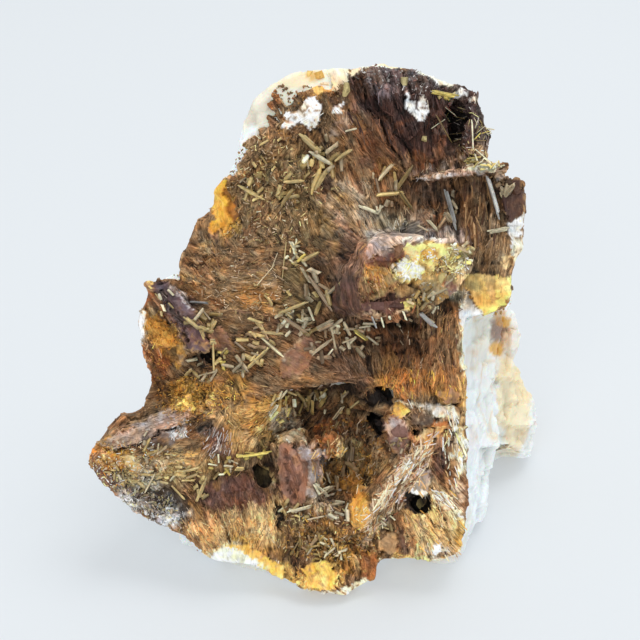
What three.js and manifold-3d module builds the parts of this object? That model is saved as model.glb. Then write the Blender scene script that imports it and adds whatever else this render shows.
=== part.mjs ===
// Pyromorphite specimen: a leaning piece of white vein quartz that carries a brown, fibrous limonite crust, with
// jumbles of small six-sided pyromorphite crystals on the crust.
// Millimetres. The stone is shaped in the frame of its crusted face: x across the face, y up the face, z out of it.
// At the end the face leans back and the stone stands on its flat foot, with +Z up.
import * as THREE from "three";
import { mergeVertices } from "three/addons/utils/BufferGeometryUtils.js";
import Module from "manifold-3d";

const wasm = await Module();
wasm.setup();

const LEAN = THREE.MathUtils.degToRad(30); // how far the face leans back from upright
const FOOT = 46; // from the middle of the face down to the plane that the stone stands on
const CLEARANCE = 0.3; // between touching pieces
const CRUST = 4; // usual thickness of the crust
const RELIEF_CELL = 3.8; // spacing of the face's relief
const SEAM_CELL = 7; // spacing of the seam between crust and quartz
const BACK_CELL = 9; // spacing of the back's relief
const UNEVEN = 0.5; // how far the corners of a relief stray, as a share of its spacing
const FRONT = 34; // in front of everything that stands out of the face
const DEEP = 90; // behind everything
const BLOCK = [116, 128]; // width and height of a block that holds the whole face

// The edge of the face, clockwise from the left shoulder, and beside each point the place that the flank behind it
// reaches at FLANK_DEPTH: [x, y, flank x, flank y].
const FLANK_DEPTH = -24;
const EDGE = [
  [-16, 38, -15.5, 38], [-15.4, 44, -14.7, 44.5], [-13.2, 48.4, -12.2, 49.5], [-9.6, 51.4, -8, 52],
  [-5.6, 53.4, -4.2, 54], [0, 54.4, 0.4, 55.5], [6, 54.2, 6.4, 56], [11.6, 55.2, 12.6, 57.5],
  [17, 54.4, 17.6, 56.5], [22.4, 52.6, 22.8, 54], [26.6, 51.2, 26.6, 51.8], [30.8, 49.8, 30.4, 49.8],
  [33.2, 46.4, 32.4, 46.8], [34.4, 41.6, 33.8, 42.5], [33.6, 36.4, 34, 38.8], [36.4, 33.8, 35.4, 35.8],
  [37.6, 31, 36.2, 32.8], [40, 31.8, 38, 32], [41, 25.6, 39.6, 27], [40.4, 19, 40, 21],
  [39, 12, 39.2, 14.8], [37.2, 6.8, 38.8, 9.2], [33.2, 5.2, 38, 6.4], [29.2, 4.2, 37.2, 3.2],
  [28.8, -1, 37.2, -2], [29, -8, 37, -9.5], [28.6, -15, 36.4, -15.2], [29.4, -20, 37, -21],
  [28.8, -26, 36.6, -26.6], [29.6, -32, 35.4, -32.8], [29.2, -38, 33.8, -39.2], [28, -42.6, 31.4, -44.2],
  [24, -44.4, 27.8, -47], [18.4, -44.4, 20, -47.4], [13, -44.2, 14.4, -46.4], [10.8, -47.6, 11.4, -49.4],
  [6.8, -50, 6.8, -51.8], [3, -51.4, 3.2, -53], [-1.6, -50, -1.6, -51.8], [-6.4, -48.4, -6.4, -50.6],
  [-11.2, -45.6, -12.2, -49.2], [-16, -44.4, -17.2, -48.8], [-20.8, -44, -22, -48.4], [-24.4, -42.2, -24.2, -46.4],
  [-29.6, -38.8, -28.2, -43.8], [-34.4, -35.4, -31.6, -40], [-39.6, -32, -34.8, -36.2], [-43.4, -28.4, -36.8, -32],
  [-46.2, -24.4, -37.8, -27.4], [-45.6, -21.6, -37.8, -24.2], [-42.8, -18.8, -36.6, -21], [-40, -15.2, -35.4, -17.8],
  [-36, -13.2, -33.6, -14.8], [-34, -10.4, -32.6, -11.6], [-34.2, -6, -32.8, -6.8], [-35.4, -1, -33.2, -1.6],
  [-36.4, 4, -33.6, 3], [-34.6, 8, -32.8, 7.2], [-34.2, 11.6, -31.6, 10.6], [-33.2, 12.4, -31.2, 11.8],
  [-28.2, 10.8, -28.6, 12.6], [-28.4, 14, -27.8, 15.6], [-27.2, 18, -26.6, 19], [-25.4, 22.2, -24.8, 23.2],
  [-24.6, 24.2, -23.6, 25.2], [-23, 23.8, -22.4, 27], [-21.6, 26.8, -21, 29], [-21.2, 30, -19.8, 31.6],
  [-19.2, 32.2, -18.2, 33.8], [-17, 34.8, -16.4, 36.2],
];

// Rings of the flank, front to back: [depth, share of the way from the edge to the flank, share of the width kept].
const RINGS = [[FRONT, 0, 1], [-4, 0, 1], [FLANK_DEPTH, 1, 1], [-42, 1, 0.92], [-66, 1, 0.7]];
const FLANK_ROUGHNESS = 1.8;

// The rough back: its middle, how deep it lies there and how fast it curves forward to the flanks.
const BACK = { x: 6, y: -4, depth: -56, curve: 0.0135 };

// Lumps of clear quartz low on the right of the back: [half sizes, place, turn in degrees].
const LUMPS = [
  [[9, 12, 11], [39, -17.6, -42], 8],
  [[8, 10, 9], [36.4, -1, -38], -8],
  [[11, 9, 9], [29, -23, -50], 30],
];

// Swells and hollows of the face: [x, y, half length, half width, turn in degrees, lift, share that stays level].
const FORMS = {
  upperLeftSlope: [-26, 22, 20, 22, 0, -8, 0],
  leftNotch: [-31, -10, 10, 8, 0, -5, 0],
  crown: [12, 46, 26, 12, -8, 2, 0.2],
  crownPocket: [27.4, 43.4, 3.2, 6, -6, -8, 0.6],
  rightBlock: [30, 22, 15, 15, 0, 1.5, 0.3],
  stepUnderLedge: [27, 27, 15, 7, 5, -3, 0.3],
  hornRoot: [6, 13, 18, 13, -8, 5, 0],
  hollowUnderHorn: [12, -1, 15, 6, 4, -4, 0.1],
  columns: [22, -8, 12, 8, 0, 3, 0.3],
  middleSwell: [-14, -13, 14, 8, -35, 3, 0],
  tongueRidge: [-34, -19, 15, 5, 24, 4.5, 0],
  tongueFoot: [-33, -30, 12, 5, -36, -3, 0],
  lowerLeftBoss: [-18, -37, 15, 8, 10, 3.5, 0.1],
  lowerMiddleGroove: [-4, -42, 5, 8, 0, -3, 0],
  vug: [3, -21, 17, 13, -8, -13, 0.55],
  vein: [13, -28, 16, 4.4, 55, 9, 0.1],
  lowerRight: [23, -38, 10, 9, 0, 2.5, 0.2],
  bottomLip: [3, -46, 9, 6, 0, 2, 0.2],
};

// White quartz shows where the crust is missing: [x, y, half length, half width, turn in degrees].
const BARE_QUARTZ = [
  [-7, 49, 14, 8, 16],
  [-14, 42, 6, 10, 0],
];
const BARE_DEPTH = 5; // how far the quartz's seam rises over the face there

// The crust is thicker in these places: [x, y, half length, half width, turn in degrees, extra thickness].
const THICKER = [
  [32, 24, 16, 24, 0, 5],
  [27, 42, 11, 13, 0, 9],
  [3, -22, 24, 20, 0, 5],
];

// Dark holes in the crust: [x, y, half length, half width, turn in degrees, depth].
const HOLE_WALL = 9; // the crust is thicker as far as this from a hole's middle
const HOLES = [
  [12, -11.6, 2.8, 2, 10, 5],
  [11.4, -16.4, 2.2, 2, 0, 4],
  [-11.6, -27.4, 2.6, 3.2, 0, 4.5],
  [20.6, -33.2, 2.5, 1.9, 0, 4.5],
  [-22, -3, 2.6, 1.5, 20, 3],
];

// A broken-off branch of crust that points out of the face, to the right and down, with a ragged hollow end.
const HORN = { root: [13, 12.4, -3], rootHalf: [12.5, 9.5], tip: [18.8, 11.6, 19], hollow: 4, ragged: 2.6 };

// The horn's broken end, clockwise, from the middle of the end.
const HORN_END = [
  [-10.4, 4.6], [-7.4, 7.4], [-2, 7.8], [3, 7.4], [8, 7], [11.6, 6], [10.2, 2.4],
  [8, -2], [5, -4.4], [0.6, -5.6], [-3.4, -7.4], [-8, -7.6], [-11, -5.6], [-11.6, -0.6],
];

// A thin shelf of crust over the right block: its reach out of the face along its length, from its middle.
const LEDGE = { place: [26, 33.2], turn: 7, thickness: 1.5 };
const LEDGE_EDGE = [[10.5, -4], [11.4, 5.2], [7, 7.4], [2.5, 6], [-3, 4.2], [-8, 2.8], [-12, -4]];

// Slabs, fins and walls of crust: [size, turns about x, y and z in degrees, place].
const PLATES = {
  leftSlab: [[19, 4, 9], [0, -12, -50], [-27.6, 5, -0.5]],
  tongueFacet: [[17, 3.6, 6], [10, -8, 24], [-33.4, -16.6, 0.5]],
  vugFin: [[14, 5.6, 7], [30, 0, -72], [-4.4, -26, -3.5]],
  vugFinTop: [[8, 3, 7], [0, 12, 8], [-0.6, -21.6, -3]],
  boxWall: [[8, 4, 9], [0, 20, -60], [15.6, -18.4, -3]],
  boxRoof: [[13, 4.4, 8], [24, 0, -8], [20.4, -14.6, -1.6]],
  boxFloor: [[8, 4.6, 7], [0, 0, 32], [22, -20.2, -2]],
  smallPlate: [[5, 4.4, 7], [0, 24, 60], [8.4, -33, -3]],
  crownWall: [[12, 3, 8], [0, 0, 84], [31.4, 43, -1]],
  rightWall: [[9, 3.4, 8], [0, 10, 84], [38.8, 27, -2]],
};

// Jumbles of pyromorphite crystals on the face: name, [x, y], [how far they spread along x and y], how many
// crystals, the longest one, and how high they stand, from 0 (lying on the crust) to 1 (upright).
const SPRAYS = [
  ["crown", [2, 31], [6, 5], 8, 5.4, 0.3],
  ["upper_left", [-13, 29], [4, 4], 5, 4.6, 0.3],
  ["under_ledge", [14.6, 26.6], [4, 3], 4, 6, 0.3],
  ["right_block", [27, 23.6], [4, 3], 5, 4.4, 0.5],
  ["right_edge", [34.4, 27], [2.6, 4], 4, 5, 0.4],
  ["crown_pocket", [24, 41.4], [3, 3.6], 5, 4.2, 0.4],
  ["upper_middle", [-7.6, 17.4], [3, 3], 4, 3.6, 0.4],
  ["centre", [-6, 8], [4, 3.4], 6, 5, 0.3],
  ["under_horn", [8, -2], [5.4, 3], 6, 4.4, 0.4],
  ["beside_slab", [-18.6, 3.6], [3.6, 4], 5, 4.2, 0.4],
  ["centre_left", [-12.4, -2], [4.4, 3], 5, 4.6, 0.3],
  ["vug_lip", [-4, -13.4], [6, 2.4], 6, 4.6, 0.6],
  ["tongue", [-35, -25], [3.6, 3], 5, 4, 0.3],
  ["tongue_foot", [-27.4, -30.6], [3.6, 3], 5, 4.2, 0.3],
  ["vug_floor", [1, -32.6], [3.4, 3], 5, 4.4, 0.5],
  ["bottom", [-4, -40], [3.4, 3], 4, 4.2, 0.4],
];
const CRYSTAL_RADIUS = 0.5;

const COLOURS = {
  quartz_matrix: { color: 0xe9e6da, roughness: 0.55 },
  limonite_crust: { color: 0x6b4526, roughness: 0.8 },
  pyromorphite: { color: 0x9c9560, roughness: 0.45 },
};

// ---------------------------------------------------------------- small helpers

// A number from 0 to 1 that is always the same for the same whole numbers.
function scatter(i, j = 0, k = 0) {
  let h = Math.imul(i + 101, 374761393) ^ Math.imul(j + 53, 668265263) ^ Math.imul(k + 7, 1442695041);
  h = Math.imul(h ^ (h >>> 13), 1274126177);
  h = Math.imul(h ^ (h >>> 15), 2246822519);
  return ((h ^ (h >>> 16)) >>> 0) / 4294967296;
}

// Smooth bumps from -1 to 1, one bump to a cell.
function rumple(x, y, cell, seed) {
  const i = Math.floor(x / cell);
  const j = Math.floor(y / cell);
  const s = THREE.MathUtils.smoothstep(x / cell - i, 0, 1);
  const t = THREE.MathUtils.smoothstep(y / cell - j, 0, 1);
  const low = THREE.MathUtils.lerp(scatter(i, j, seed), scatter(i + 1, j, seed), s);
  const high = THREE.MathUtils.lerp(scatter(i, j + 1, seed), scatter(i + 1, j + 1, seed), s);
  return 2 * THREE.MathUtils.lerp(low, high, t) - 1;
}

// How far a point lies inside a turned oval: 1 over the level share, falling to 0 at its edge.
function inside(x, y, [cx, cy, halfLength, halfWidth, turn], level = 0) {
  const a = THREE.MathUtils.degToRad(turn);
  const along = ((x - cx) * Math.cos(a) + (y - cy) * Math.sin(a)) / halfLength;
  const across = ((y - cy) * Math.cos(a) - (x - cx) * Math.sin(a)) / halfWidth;
  return 1 - THREE.MathUtils.smoothstep(Math.hypot(along, across), level, 1);
}

// Moves every corner of a geometry to where place(corner) puts it.
function reshaped(geometry, place) {
  const corners = geometry.getAttribute("position");
  const corner = new THREE.Vector3();
  for (let i = 0; i < corners.count; i++) {
    corner.fromBufferAttribute(corners, i);
    place(corner);
    corners.setXYZ(i, corner.x, corner.y, corner.z);
  }
  return geometry;
}

function solidFrom(geometry) {
  const bare = geometry.clone();
  bare.deleteAttribute("normal");
  bare.deleteAttribute("uv");
  const merged = mergeVertices(bare, 1e-4);
  return new wasm.Manifold(
    new wasm.Mesh({
      numProp: 3,
      vertProperties: merged.getAttribute("position").array,
      triVerts: new Uint32Array(merged.index.array),
    }),
  );
}

function largestPiece(solid) {
  return solid.decompose().reduce((best, next) => (next.volume() > best.volume() ? next : best));
}

function meshFrom(name, solid, colour) {
  const { numProp, vertProperties, triVerts, numVert } = solid.getMesh();
  const places = new Float32Array(numVert * 3);
  for (let i = 0; i < numVert; i++) {
    places.set(vertProperties.subarray(i * numProp, i * numProp + 3), i * 3);
  }
  const geometry = new THREE.BufferGeometry();
  geometry.setAttribute("position", new THREE.BufferAttribute(places, 3));
  geometry.setIndex(new THREE.BufferAttribute(new Uint32Array(triVerts), 1));
  geometry.computeVertexNormals();
  const material = new THREE.MeshStandardMaterial({ ...colour, metalness: 0, flatShading: true });
  const mesh = new THREE.Mesh(geometry, material);
  mesh.name = name;
  return mesh;
}

// ---------------------------------------------------------------- the stone's surfaces

// Height of the broken face.
function relief(x, y) {
  let height = 0;
  for (const form of Object.values(FORMS)) height += form[5] * inside(x, y, form, form[6]);
  return height + 0.9 * rumple(x, y, 9, 1) + 0.6 * rumple(x, y, 4.5, 2);
}

// Height of the seam between the crust and the quartz behind it.
function seam(x, y) {
  let thickness = CRUST + 0.8 * rumple(x, y, 12, 3);
  for (const place of THICKER) thickness += place[5] * inside(x, y, place);
  for (const [holeX, holeY, , , , depth] of HOLES) {
    thickness += depth * inside(x, y, [holeX, holeY, HOLE_WALL, HOLE_WALL, 0]);
  }
  for (const place of BARE_QUARTZ) thickness -= (CRUST + BARE_DEPTH) * inside(x, y, place, 0.6);
  return relief(x, y) - thickness;
}

// Everything behind a surface given by its height, as a block with that surface as its front.
function behind(height, cell) {
  const [width, tall] = BLOCK;
  const block = new THREE.BoxGeometry(width, tall, 2, Math.round(width / cell), Math.round(tall / cell), 1);
  return solidFrom(
    reshaped(block, (corner) => {
      const [i, j] = [Math.round(corner.x * 8), Math.round(corner.y * 8)];
      corner.x += UNEVEN * cell * (scatter(i, j, 11) - 0.5);
      corner.y += UNEVEN * cell * (scatter(i, j, 12) - 0.5);
      corner.z = corner.z > 0 ? height(corner.x, corner.y) : -DEEP;
    }),
  );
}

// Height of the face between the corners that a block of RELIEF_CELL gives it.
function faceHeight(x, y) {
  const [width, tall] = BLOCK;
  const stepX = width / Math.round(width / RELIEF_CELL);
  const stepY = tall / Math.round(tall / RELIEF_CELL);
  const i = Math.floor((x + width / 2) / stepX);
  const j = Math.floor((y + tall / 2) / stepY);
  const [left, bottom] = [i * stepX - width / 2, j * stepY - tall / 2];
  const [s, t] = [(x - left) / stepX, (y - bottom) / stepY];
  const low = THREE.MathUtils.lerp(relief(left, bottom), relief(left + stepX, bottom), s);
  const high = THREE.MathUtils.lerp(relief(left, bottom + stepY), relief(left + stepX, bottom + stepY), s);
  return THREE.MathUtils.lerp(low, high, t);
}

// How deep the rough back lies.
function backDepth(x, y) {
  const away = Math.hypot(x - BACK.x, y - BACK.y);
  return BACK.depth + BACK.curve * away * away + 4 * rumple(x, y, 17, 4) + 2.4 * rumple(x, y, BACK_CELL, 5);
}

// A closed drum through a stack of rings, front ring first. Every ring has as many corners, clockwise.
function loft(rings, frontMiddle, backMiddle) {
  const last = rings.length - 1;
  const around = rings[0].length;
  const drum = new THREE.CylinderGeometry(1, 1, last, around, last);
  drum.translate(0, last / 2, 0);
  return solidFrom(
    reshaped(drum, (corner) => {
      const level = last - Math.round(corner.y);
      const turn = Math.round((Math.atan2(corner.x, corner.z) / (2 * Math.PI)) * around);
      if (Math.hypot(corner.x, corner.z) > 0.5) corner.copy(rings[level][(around - turn) % around]);
      else corner.copy(level === 0 ? frontMiddle : backMiddle);
    }),
  );
}

// The stone's outside without its face.
function flanks() {
  const rings = RINGS.map(([depth, flankShare, keep], level) => {
    const rough = flankShare * FLANK_ROUGHNESS;
    return EDGE.map(([x, y, flankX, flankY], i) => {
      const corner = new THREE.Vector3(x, y, 0).lerp(new THREE.Vector3(flankX, flankY, 0), flankShare);
      corner.multiplyScalar(keep);
      corner.x += rough * (scatter(i, level, 1) - 0.5);
      corner.y += rough * (scatter(i, level, 2) - 0.5);
      corner.z = depth + 3 * rough * (scatter(i >> 2, level, 3) - 0.5);
      return corner;
    });
  });
  return loft(rings, new THREE.Vector3(0, 0, FRONT), new THREE.Vector3(0, 0, RINGS.at(-1)[0]));
}

// Everything under the plane that the stone stands on.
function ground() {
  const block = new THREE.BoxGeometry(200, 200, 200);
  block.translate(0, 0, -100 - FOOT);
  block.rotateX(LEAN - Math.PI / 2);
  return solidFrom(block);
}

// ---------------------------------------------------------------- what stands out of the face

function horn(swell) {
  const root = new THREE.Vector3(...HORN.root);
  const tip = new THREE.Vector3(...HORN.tip);
  const rings = [1, 0.75, 0.4, 0].map((t, level) =>
    HORN_END.map(([x, y], i) => {
      const away = new THREE.Vector3(x, y, 0);
      const round = away.clone().normalize().multiply(new THREE.Vector3(...HORN.rootHalf, 1));
      away.lerp(round, (1 - t) ** 1.6).multiplyScalar(1 + 0.12 * (scatter(i, level, 5) - 0.5));
      away.setLength(away.length() + swell);
      away.z = level === 0 ? swell + HORN.ragged * (scatter(i, 9, 8) - 0.5) - 0.16 * x : 0;
      return away.add(root.clone().lerp(tip, t));
    }),
  );
  return loft(rings, tip.clone().setZ(tip.z + swell - HORN.hollow), root);
}

function ledge(swell) {
  const outline = new THREE.Shape(LEDGE_EDGE.map(([x, out]) => new THREE.Vector2(x, out > 0 ? out + swell : out)));
  const shelf = new THREE.ExtrudeGeometry(outline, { depth: LEDGE.thickness + 2 * swell, bevelEnabled: false });
  shelf.rotateX(Math.PI / 2);
  shelf.translate(0, LEDGE.thickness / 2 + swell, 0);
  shelf.rotateZ(THREE.MathUtils.degToRad(LEDGE.turn));
  shelf.translate(...LEDGE.place, 0);
  return solidFrom(shelf);
}

// A slab of crust: a box with chipped corners, in place.
function slab([length, width, height], turns, place, seed, swell) {
  const parts = 3;
  const uneven = new THREE.BoxGeometry(length + 2 * swell, width + 2 * swell, height + 2 * swell, parts, 1, 1);
  const chip = Math.min(length, width, height) * 0.22;
  reshaped(uneven, (corner) => {
    const i = Math.round((corner.x / (length + 2 * swell) + 0.5) * parts);
    const side = 3 * Math.sign(corner.y) + Math.sign(corner.z);
    corner.x += chip * (scatter(i, side, seed) - 0.5);
    corner.y += chip * (scatter(i, side, seed + 1) - 0.5);
    corner.z += chip * (scatter(i, side, seed + 2) - 0.5);
  });
  const [aboutX, aboutY, aboutZ] = turns.map(THREE.MathUtils.degToRad);
  uneven.applyMatrix4(new THREE.Matrix4().makeRotationFromEuler(new THREE.Euler(aboutX, aboutY, aboutZ, "ZYX")));
  uneven.translate(...place);
  return solidFrom(uneven);
}

function hole([x, y, halfLength, halfWidth, turn, depth], swell) {
  const length = 2 * depth + 4;
  const shaft = new THREE.CylinderGeometry(1, 0.6, length, 7, 1);
  shaft.rotateX(Math.PI / 2);
  shaft.scale(halfLength - swell, halfWidth - swell, 1);
  shaft.rotateZ(THREE.MathUtils.degToRad(turn));
  shaft.translate(x, y, relief(x, y) - depth + length / 2);
  return solidFrom(shaft);
}

// ---------------------------------------------------------------- the three kinds of piece

// The crust, or with some swell the room that it needs.
function crust(stone, earth, swell = 0) {
  const face = behind((x, y) => relief(x, y) + swell, RELIEF_CELL);
  const back = behind((x, y) => seam(x, y), SEAM_CELL);
  let solid = stone.intersect(face).add(horn(swell)).add(ledge(swell));
  Object.values(PLATES).forEach(([size, turns, place], i) => {
    solid = solid.add(slab(size, turns, place, 20 + 5 * i, swell));
  });
  for (const each of HOLES) solid = solid.subtract(hole(each, swell));
  return largestPiece(solid.subtract(back).subtract(earth));
}

// A lump of quartz: an icosahedron with uneven corners.
function lump([halfWidth, halfHeight, halfDepth], place, turn, seed) {
  const rough = new THREE.IcosahedronGeometry(1, 1);
  reshaped(rough, (corner) => {
    const [i, j, k] = corner.toArray().map((c) => Math.round(c * 4));
    corner.multiplyScalar(0.86 + 0.3 * scatter(i, 9 * j + k, seed));
  });
  rough.scale(halfWidth, halfHeight, halfDepth);
  rough.rotateZ(THREE.MathUtils.degToRad(turn));
  rough.translate(...place);
  return solidFrom(rough);
}

function quartz(stone, earth) {
  const face = behind(relief, RELIEF_CELL);
  const front = behind((x, y) => seam(x, y) - CLEARANCE, SEAM_CELL);
  let solid = stone.intersect(face).intersect(front);
  LUMPS.forEach(([halves, place, turn], i) => {
    solid = solid.add(lump(halves, place, turn, 40 + i));
  });
  return largestPiece(solid.subtract(earth));
}

// One six-sided crystal with flat ends between two places.
function crystal(from, to, radius) {
  const along = to.clone().sub(from);
  const prism = new THREE.CylinderGeometry(radius, radius * 0.92, along.length(), 6);
  prism.translate(0, along.length() / 2, 0);
  prism.applyQuaternion(new THREE.Quaternion().setFromUnitVectors(new THREE.Vector3(0, 1, 0), along.normalize()));
  prism.translate(from.x, from.y, from.z);
  return solidFrom(prism);
}

// Crystals grown through each other, each one rooted on an earlier one and leaning over the crust.
function spray([, [x, y], [spreadX, spreadY], count, longest, rise], seed, room) {
  const rods = [];
  let solid = null;
  for (let i = 0; i < count; i++) {
    const parent = rods[Math.floor(scatter(seed, i, 1) * rods.length)];
    const from = new THREE.Vector3(x, y, faceHeight(x, y) + 0.2);
    if (parent) from.copy(parent.from).lerp(parent.to, 0.25 + 0.6 * scatter(seed, i, 2));
    const around = 2 * Math.PI * (scatter(seed, i, 3) + i * 0.38);
    const length = longest * (0.55 + 0.45 * scatter(seed, i, 4));
    const to = new THREE.Vector3(from.x + length * Math.cos(around), from.y + length * Math.sin(around), 0);
    to.x = THREE.MathUtils.clamp(to.x, x - spreadX, x + spreadX);
    to.y = THREE.MathUtils.clamp(to.y, y - spreadY, y + spreadY);
    to.z = faceHeight(to.x, to.y) + 0.5 + 2 * rise * longest * scatter(seed, i, 5) ** 2;
    to.sub(from).setLength(length).add(from);
    const rod = crystal(from, to, CRYSTAL_RADIUS * (0.8 + 0.4 * scatter(seed, i, 6)));
    solid = solid ? solid.add(rod) : rod;
    rods.push({ from, to });
  }
  return largestPiece(solid.subtract(room));
}

// ---------------------------------------------------------------- the specimen

const stone = flanks().subtract(behind(backDepth, BACK_CELL));
const earth = ground();
const specimen = new THREE.Group();
specimen.add(meshFrom("quartz_matrix", quartz(stone, earth), COLOURS.quartz_matrix));
specimen.add(meshFrom("limonite_crust", crust(stone, earth), COLOURS.limonite_crust));
const room = crust(stone, earth, CLEARANCE);
SPRAYS.forEach((each, i) => {
  specimen.add(meshFrom(`pyromorphite_${each[0]}`, spray(each, i, room), COLOURS.pyromorphite));
});

// Face frame to standing frame, then the origin to the middle of the foot's level.
specimen.rotation.x = Math.PI / 2 - LEAN;
specimen.updateMatrixWorld(true);
const box = new THREE.Box3().setFromObject(specimen, true);
const middle = box.getCenter(new THREE.Vector3());
specimen.position.set(-middle.x, -middle.y, -box.min.z);

const stand = new THREE.Group();
stand.add(specimen);
export default stand;
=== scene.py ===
"""Pyromorphite specimen: a limonite crust of silky fibres and small six-sided crystals on milky quartz.

Shapes are worked in the frame of the crusted face, in millimetres: x across the face, y up the face and w out of it.
Spots on the face are given as the camera sees them, in pixels of its 640 by 640 view, where one pixel is PIXEL wide.
"""
import itertools
import math

import bmesh
import bpy
import numpy as np
from mathutils import Matrix, Vector
from mathutils.bvhtree import BVHTree
from mathutils.kdtree import KDTree


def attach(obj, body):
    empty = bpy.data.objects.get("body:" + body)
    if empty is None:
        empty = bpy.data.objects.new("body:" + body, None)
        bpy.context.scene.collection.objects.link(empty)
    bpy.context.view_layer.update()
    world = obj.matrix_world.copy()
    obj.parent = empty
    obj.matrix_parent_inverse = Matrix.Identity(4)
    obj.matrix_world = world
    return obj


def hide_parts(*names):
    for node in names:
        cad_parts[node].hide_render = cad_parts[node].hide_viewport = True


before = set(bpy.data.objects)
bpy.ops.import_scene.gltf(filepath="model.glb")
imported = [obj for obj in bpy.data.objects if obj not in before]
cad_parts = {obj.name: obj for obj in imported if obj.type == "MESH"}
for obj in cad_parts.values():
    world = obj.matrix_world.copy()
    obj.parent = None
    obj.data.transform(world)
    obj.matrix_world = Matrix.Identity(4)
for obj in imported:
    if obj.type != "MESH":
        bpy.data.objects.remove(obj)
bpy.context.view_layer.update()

MM = 0.001
LEAN = math.radians(30)  # how far the face leans back
FACE_MIDDLE = (-1.273, -12.004, 46.0)  # where the middle of the face is, in millimetres
TURN = Matrix.Rotation(math.pi / 2 - LEAN, 4, "X")
FACE_TO_WORLD = Matrix.Scale(MM, 4) @ Matrix.Translation(FACE_MIDDLE) @ TURN

VIEW = 640  # pixels across the camera's view
PIXEL = 0.2  # millimetres of the face to a pixel
BACK = -20  # what lies deeper than this, in millimetres, is not part of the face
VIEW_DISTANCE = 450.0
VIEW_Y = 4.0  # the height on the face that the camera looks at
EYE = Vector((0, VIEW_Y, VIEW_DISTANCE))


# ---------------------------------------------------------------- noise and measuring

def hashed(cells, seed):
    """A number from -1 to 1 for each row of whole numbers."""
    h = np.full(len(cells), (seed * 2654435761 + 12345) & 0xFFFFFFFF, dtype=np.uint64)
    for column in range(cells.shape[1]):
        whole = (cells[:, column].astype(np.int64) & 0xFFFFFFFF).astype(np.uint64)
        h ^= whole * np.uint64(374761393 + 668265263 * column)
        h &= np.uint64(0xFFFFFFFF)
        h = ((h ^ (h >> np.uint64(13))) * np.uint64(1274126177)) & np.uint64(0xFFFFFFFF)
        h ^= h >> np.uint64(16)
    return h.astype(float) / 2147483648.0 - 1.0


def noise(points, cell, seed):
    """Smooth bumps from -1 to 1, one bump to a cell. Each seed gives a pattern of its own."""
    q = points / cell
    low = np.floor(q).astype(np.int64)
    part = q - low
    part = part * part * (3 - 2 * part)
    total = np.zeros(len(points))
    for corner in itertools.product((0, 1), repeat=points.shape[1]):
        weight = np.prod(np.where(corner, part, 1 - part), axis=1)
        total += weight * hashed(low + corner, seed)
    return total


def billows(points, cell, seed, octaves=3):
    """Noise of several sizes on top of each other, from about -1 to 1."""
    return sum(noise(points, cell / 2 ** i, seed + i) / 2 ** i for i in range(octaves)) / 1.6


def drift(spots, reach, cell, seed):
    """Small shifts of spots, as smooth as their cell is large."""
    return reach * np.stack([noise(spots, cell, seed + k) for k in range(2)], 1)


def chips(points, cell, seed):
    """Heights of flat facets at random tilts, one facet to a cell, as on a broken stone."""
    home = np.floor(points / cell).astype(np.int64)
    nearest = np.full(len(points), np.inf)
    height = np.zeros(len(points))
    for step in itertools.product((-1, 0, 1), repeat=3):
        cells = home + step
        jitter = np.stack([hashed(cells, seed + k) for k in range(3)], 1)
        away = points - (cells + 0.5 + 0.4 * jitter) * cell
        distance = np.einsum("ij,ij->i", away, away)
        tilt = np.stack([hashed(cells, seed + 3 + k) for k in range(3)], 1)
        closer = distance < nearest
        nearest = np.where(closer, distance, nearest)
        height = np.where(closer, np.einsum("ij,ij->i", away, tilt) / cell + 0.6 * tilt[:, 0], height)
    return height


def pixels(points):
    """Where the camera sees points of the face frame."""
    nearer = VIEW_DISTANCE / (VIEW_DISTANCE - points[:, 2]) / PIXEL
    return np.stack([VIEW / 2 + points[:, 0] * nearer, VIEW / 2 - (points[:, 1] - VIEW_Y) * nearer], 1)


def sight(px, py):
    """The direction from the camera through a pixel, in the face frame."""
    return (Vector(((px - VIEW / 2) * PIXEL, VIEW_Y + (VIEW / 2 - py) * PIXEL, 0)) - EYE).normalized()


def inside(spots, patch, soft=1.0):
    """How far spots lie inside a turned oval, from 0 at its edge to 1 within."""
    x, y, half_length, half_width, turn = patch[:5]
    a = math.radians(turn)
    dx, dy = spots[:, 0] - x, spots[:, 1] - y
    along = (dx * math.cos(a) - dy * math.sin(a)) / half_length
    across = (dx * math.sin(a) + dy * math.cos(a)) / half_width
    t = np.clip((1 - np.hypot(along, across)) / soft, 0, 1)
    return t * t * (3 - 2 * t)


def colour(red, green, blue):
    """A screen colour as the light that it stands for."""
    c = np.array([red, green, blue]) / 255
    return np.where(c <= 0.04045, c / 12.92, ((c + 0.055) / 1.055) ** 2.4)


# ---------------------------------------------------------------- how the fibres run

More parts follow.
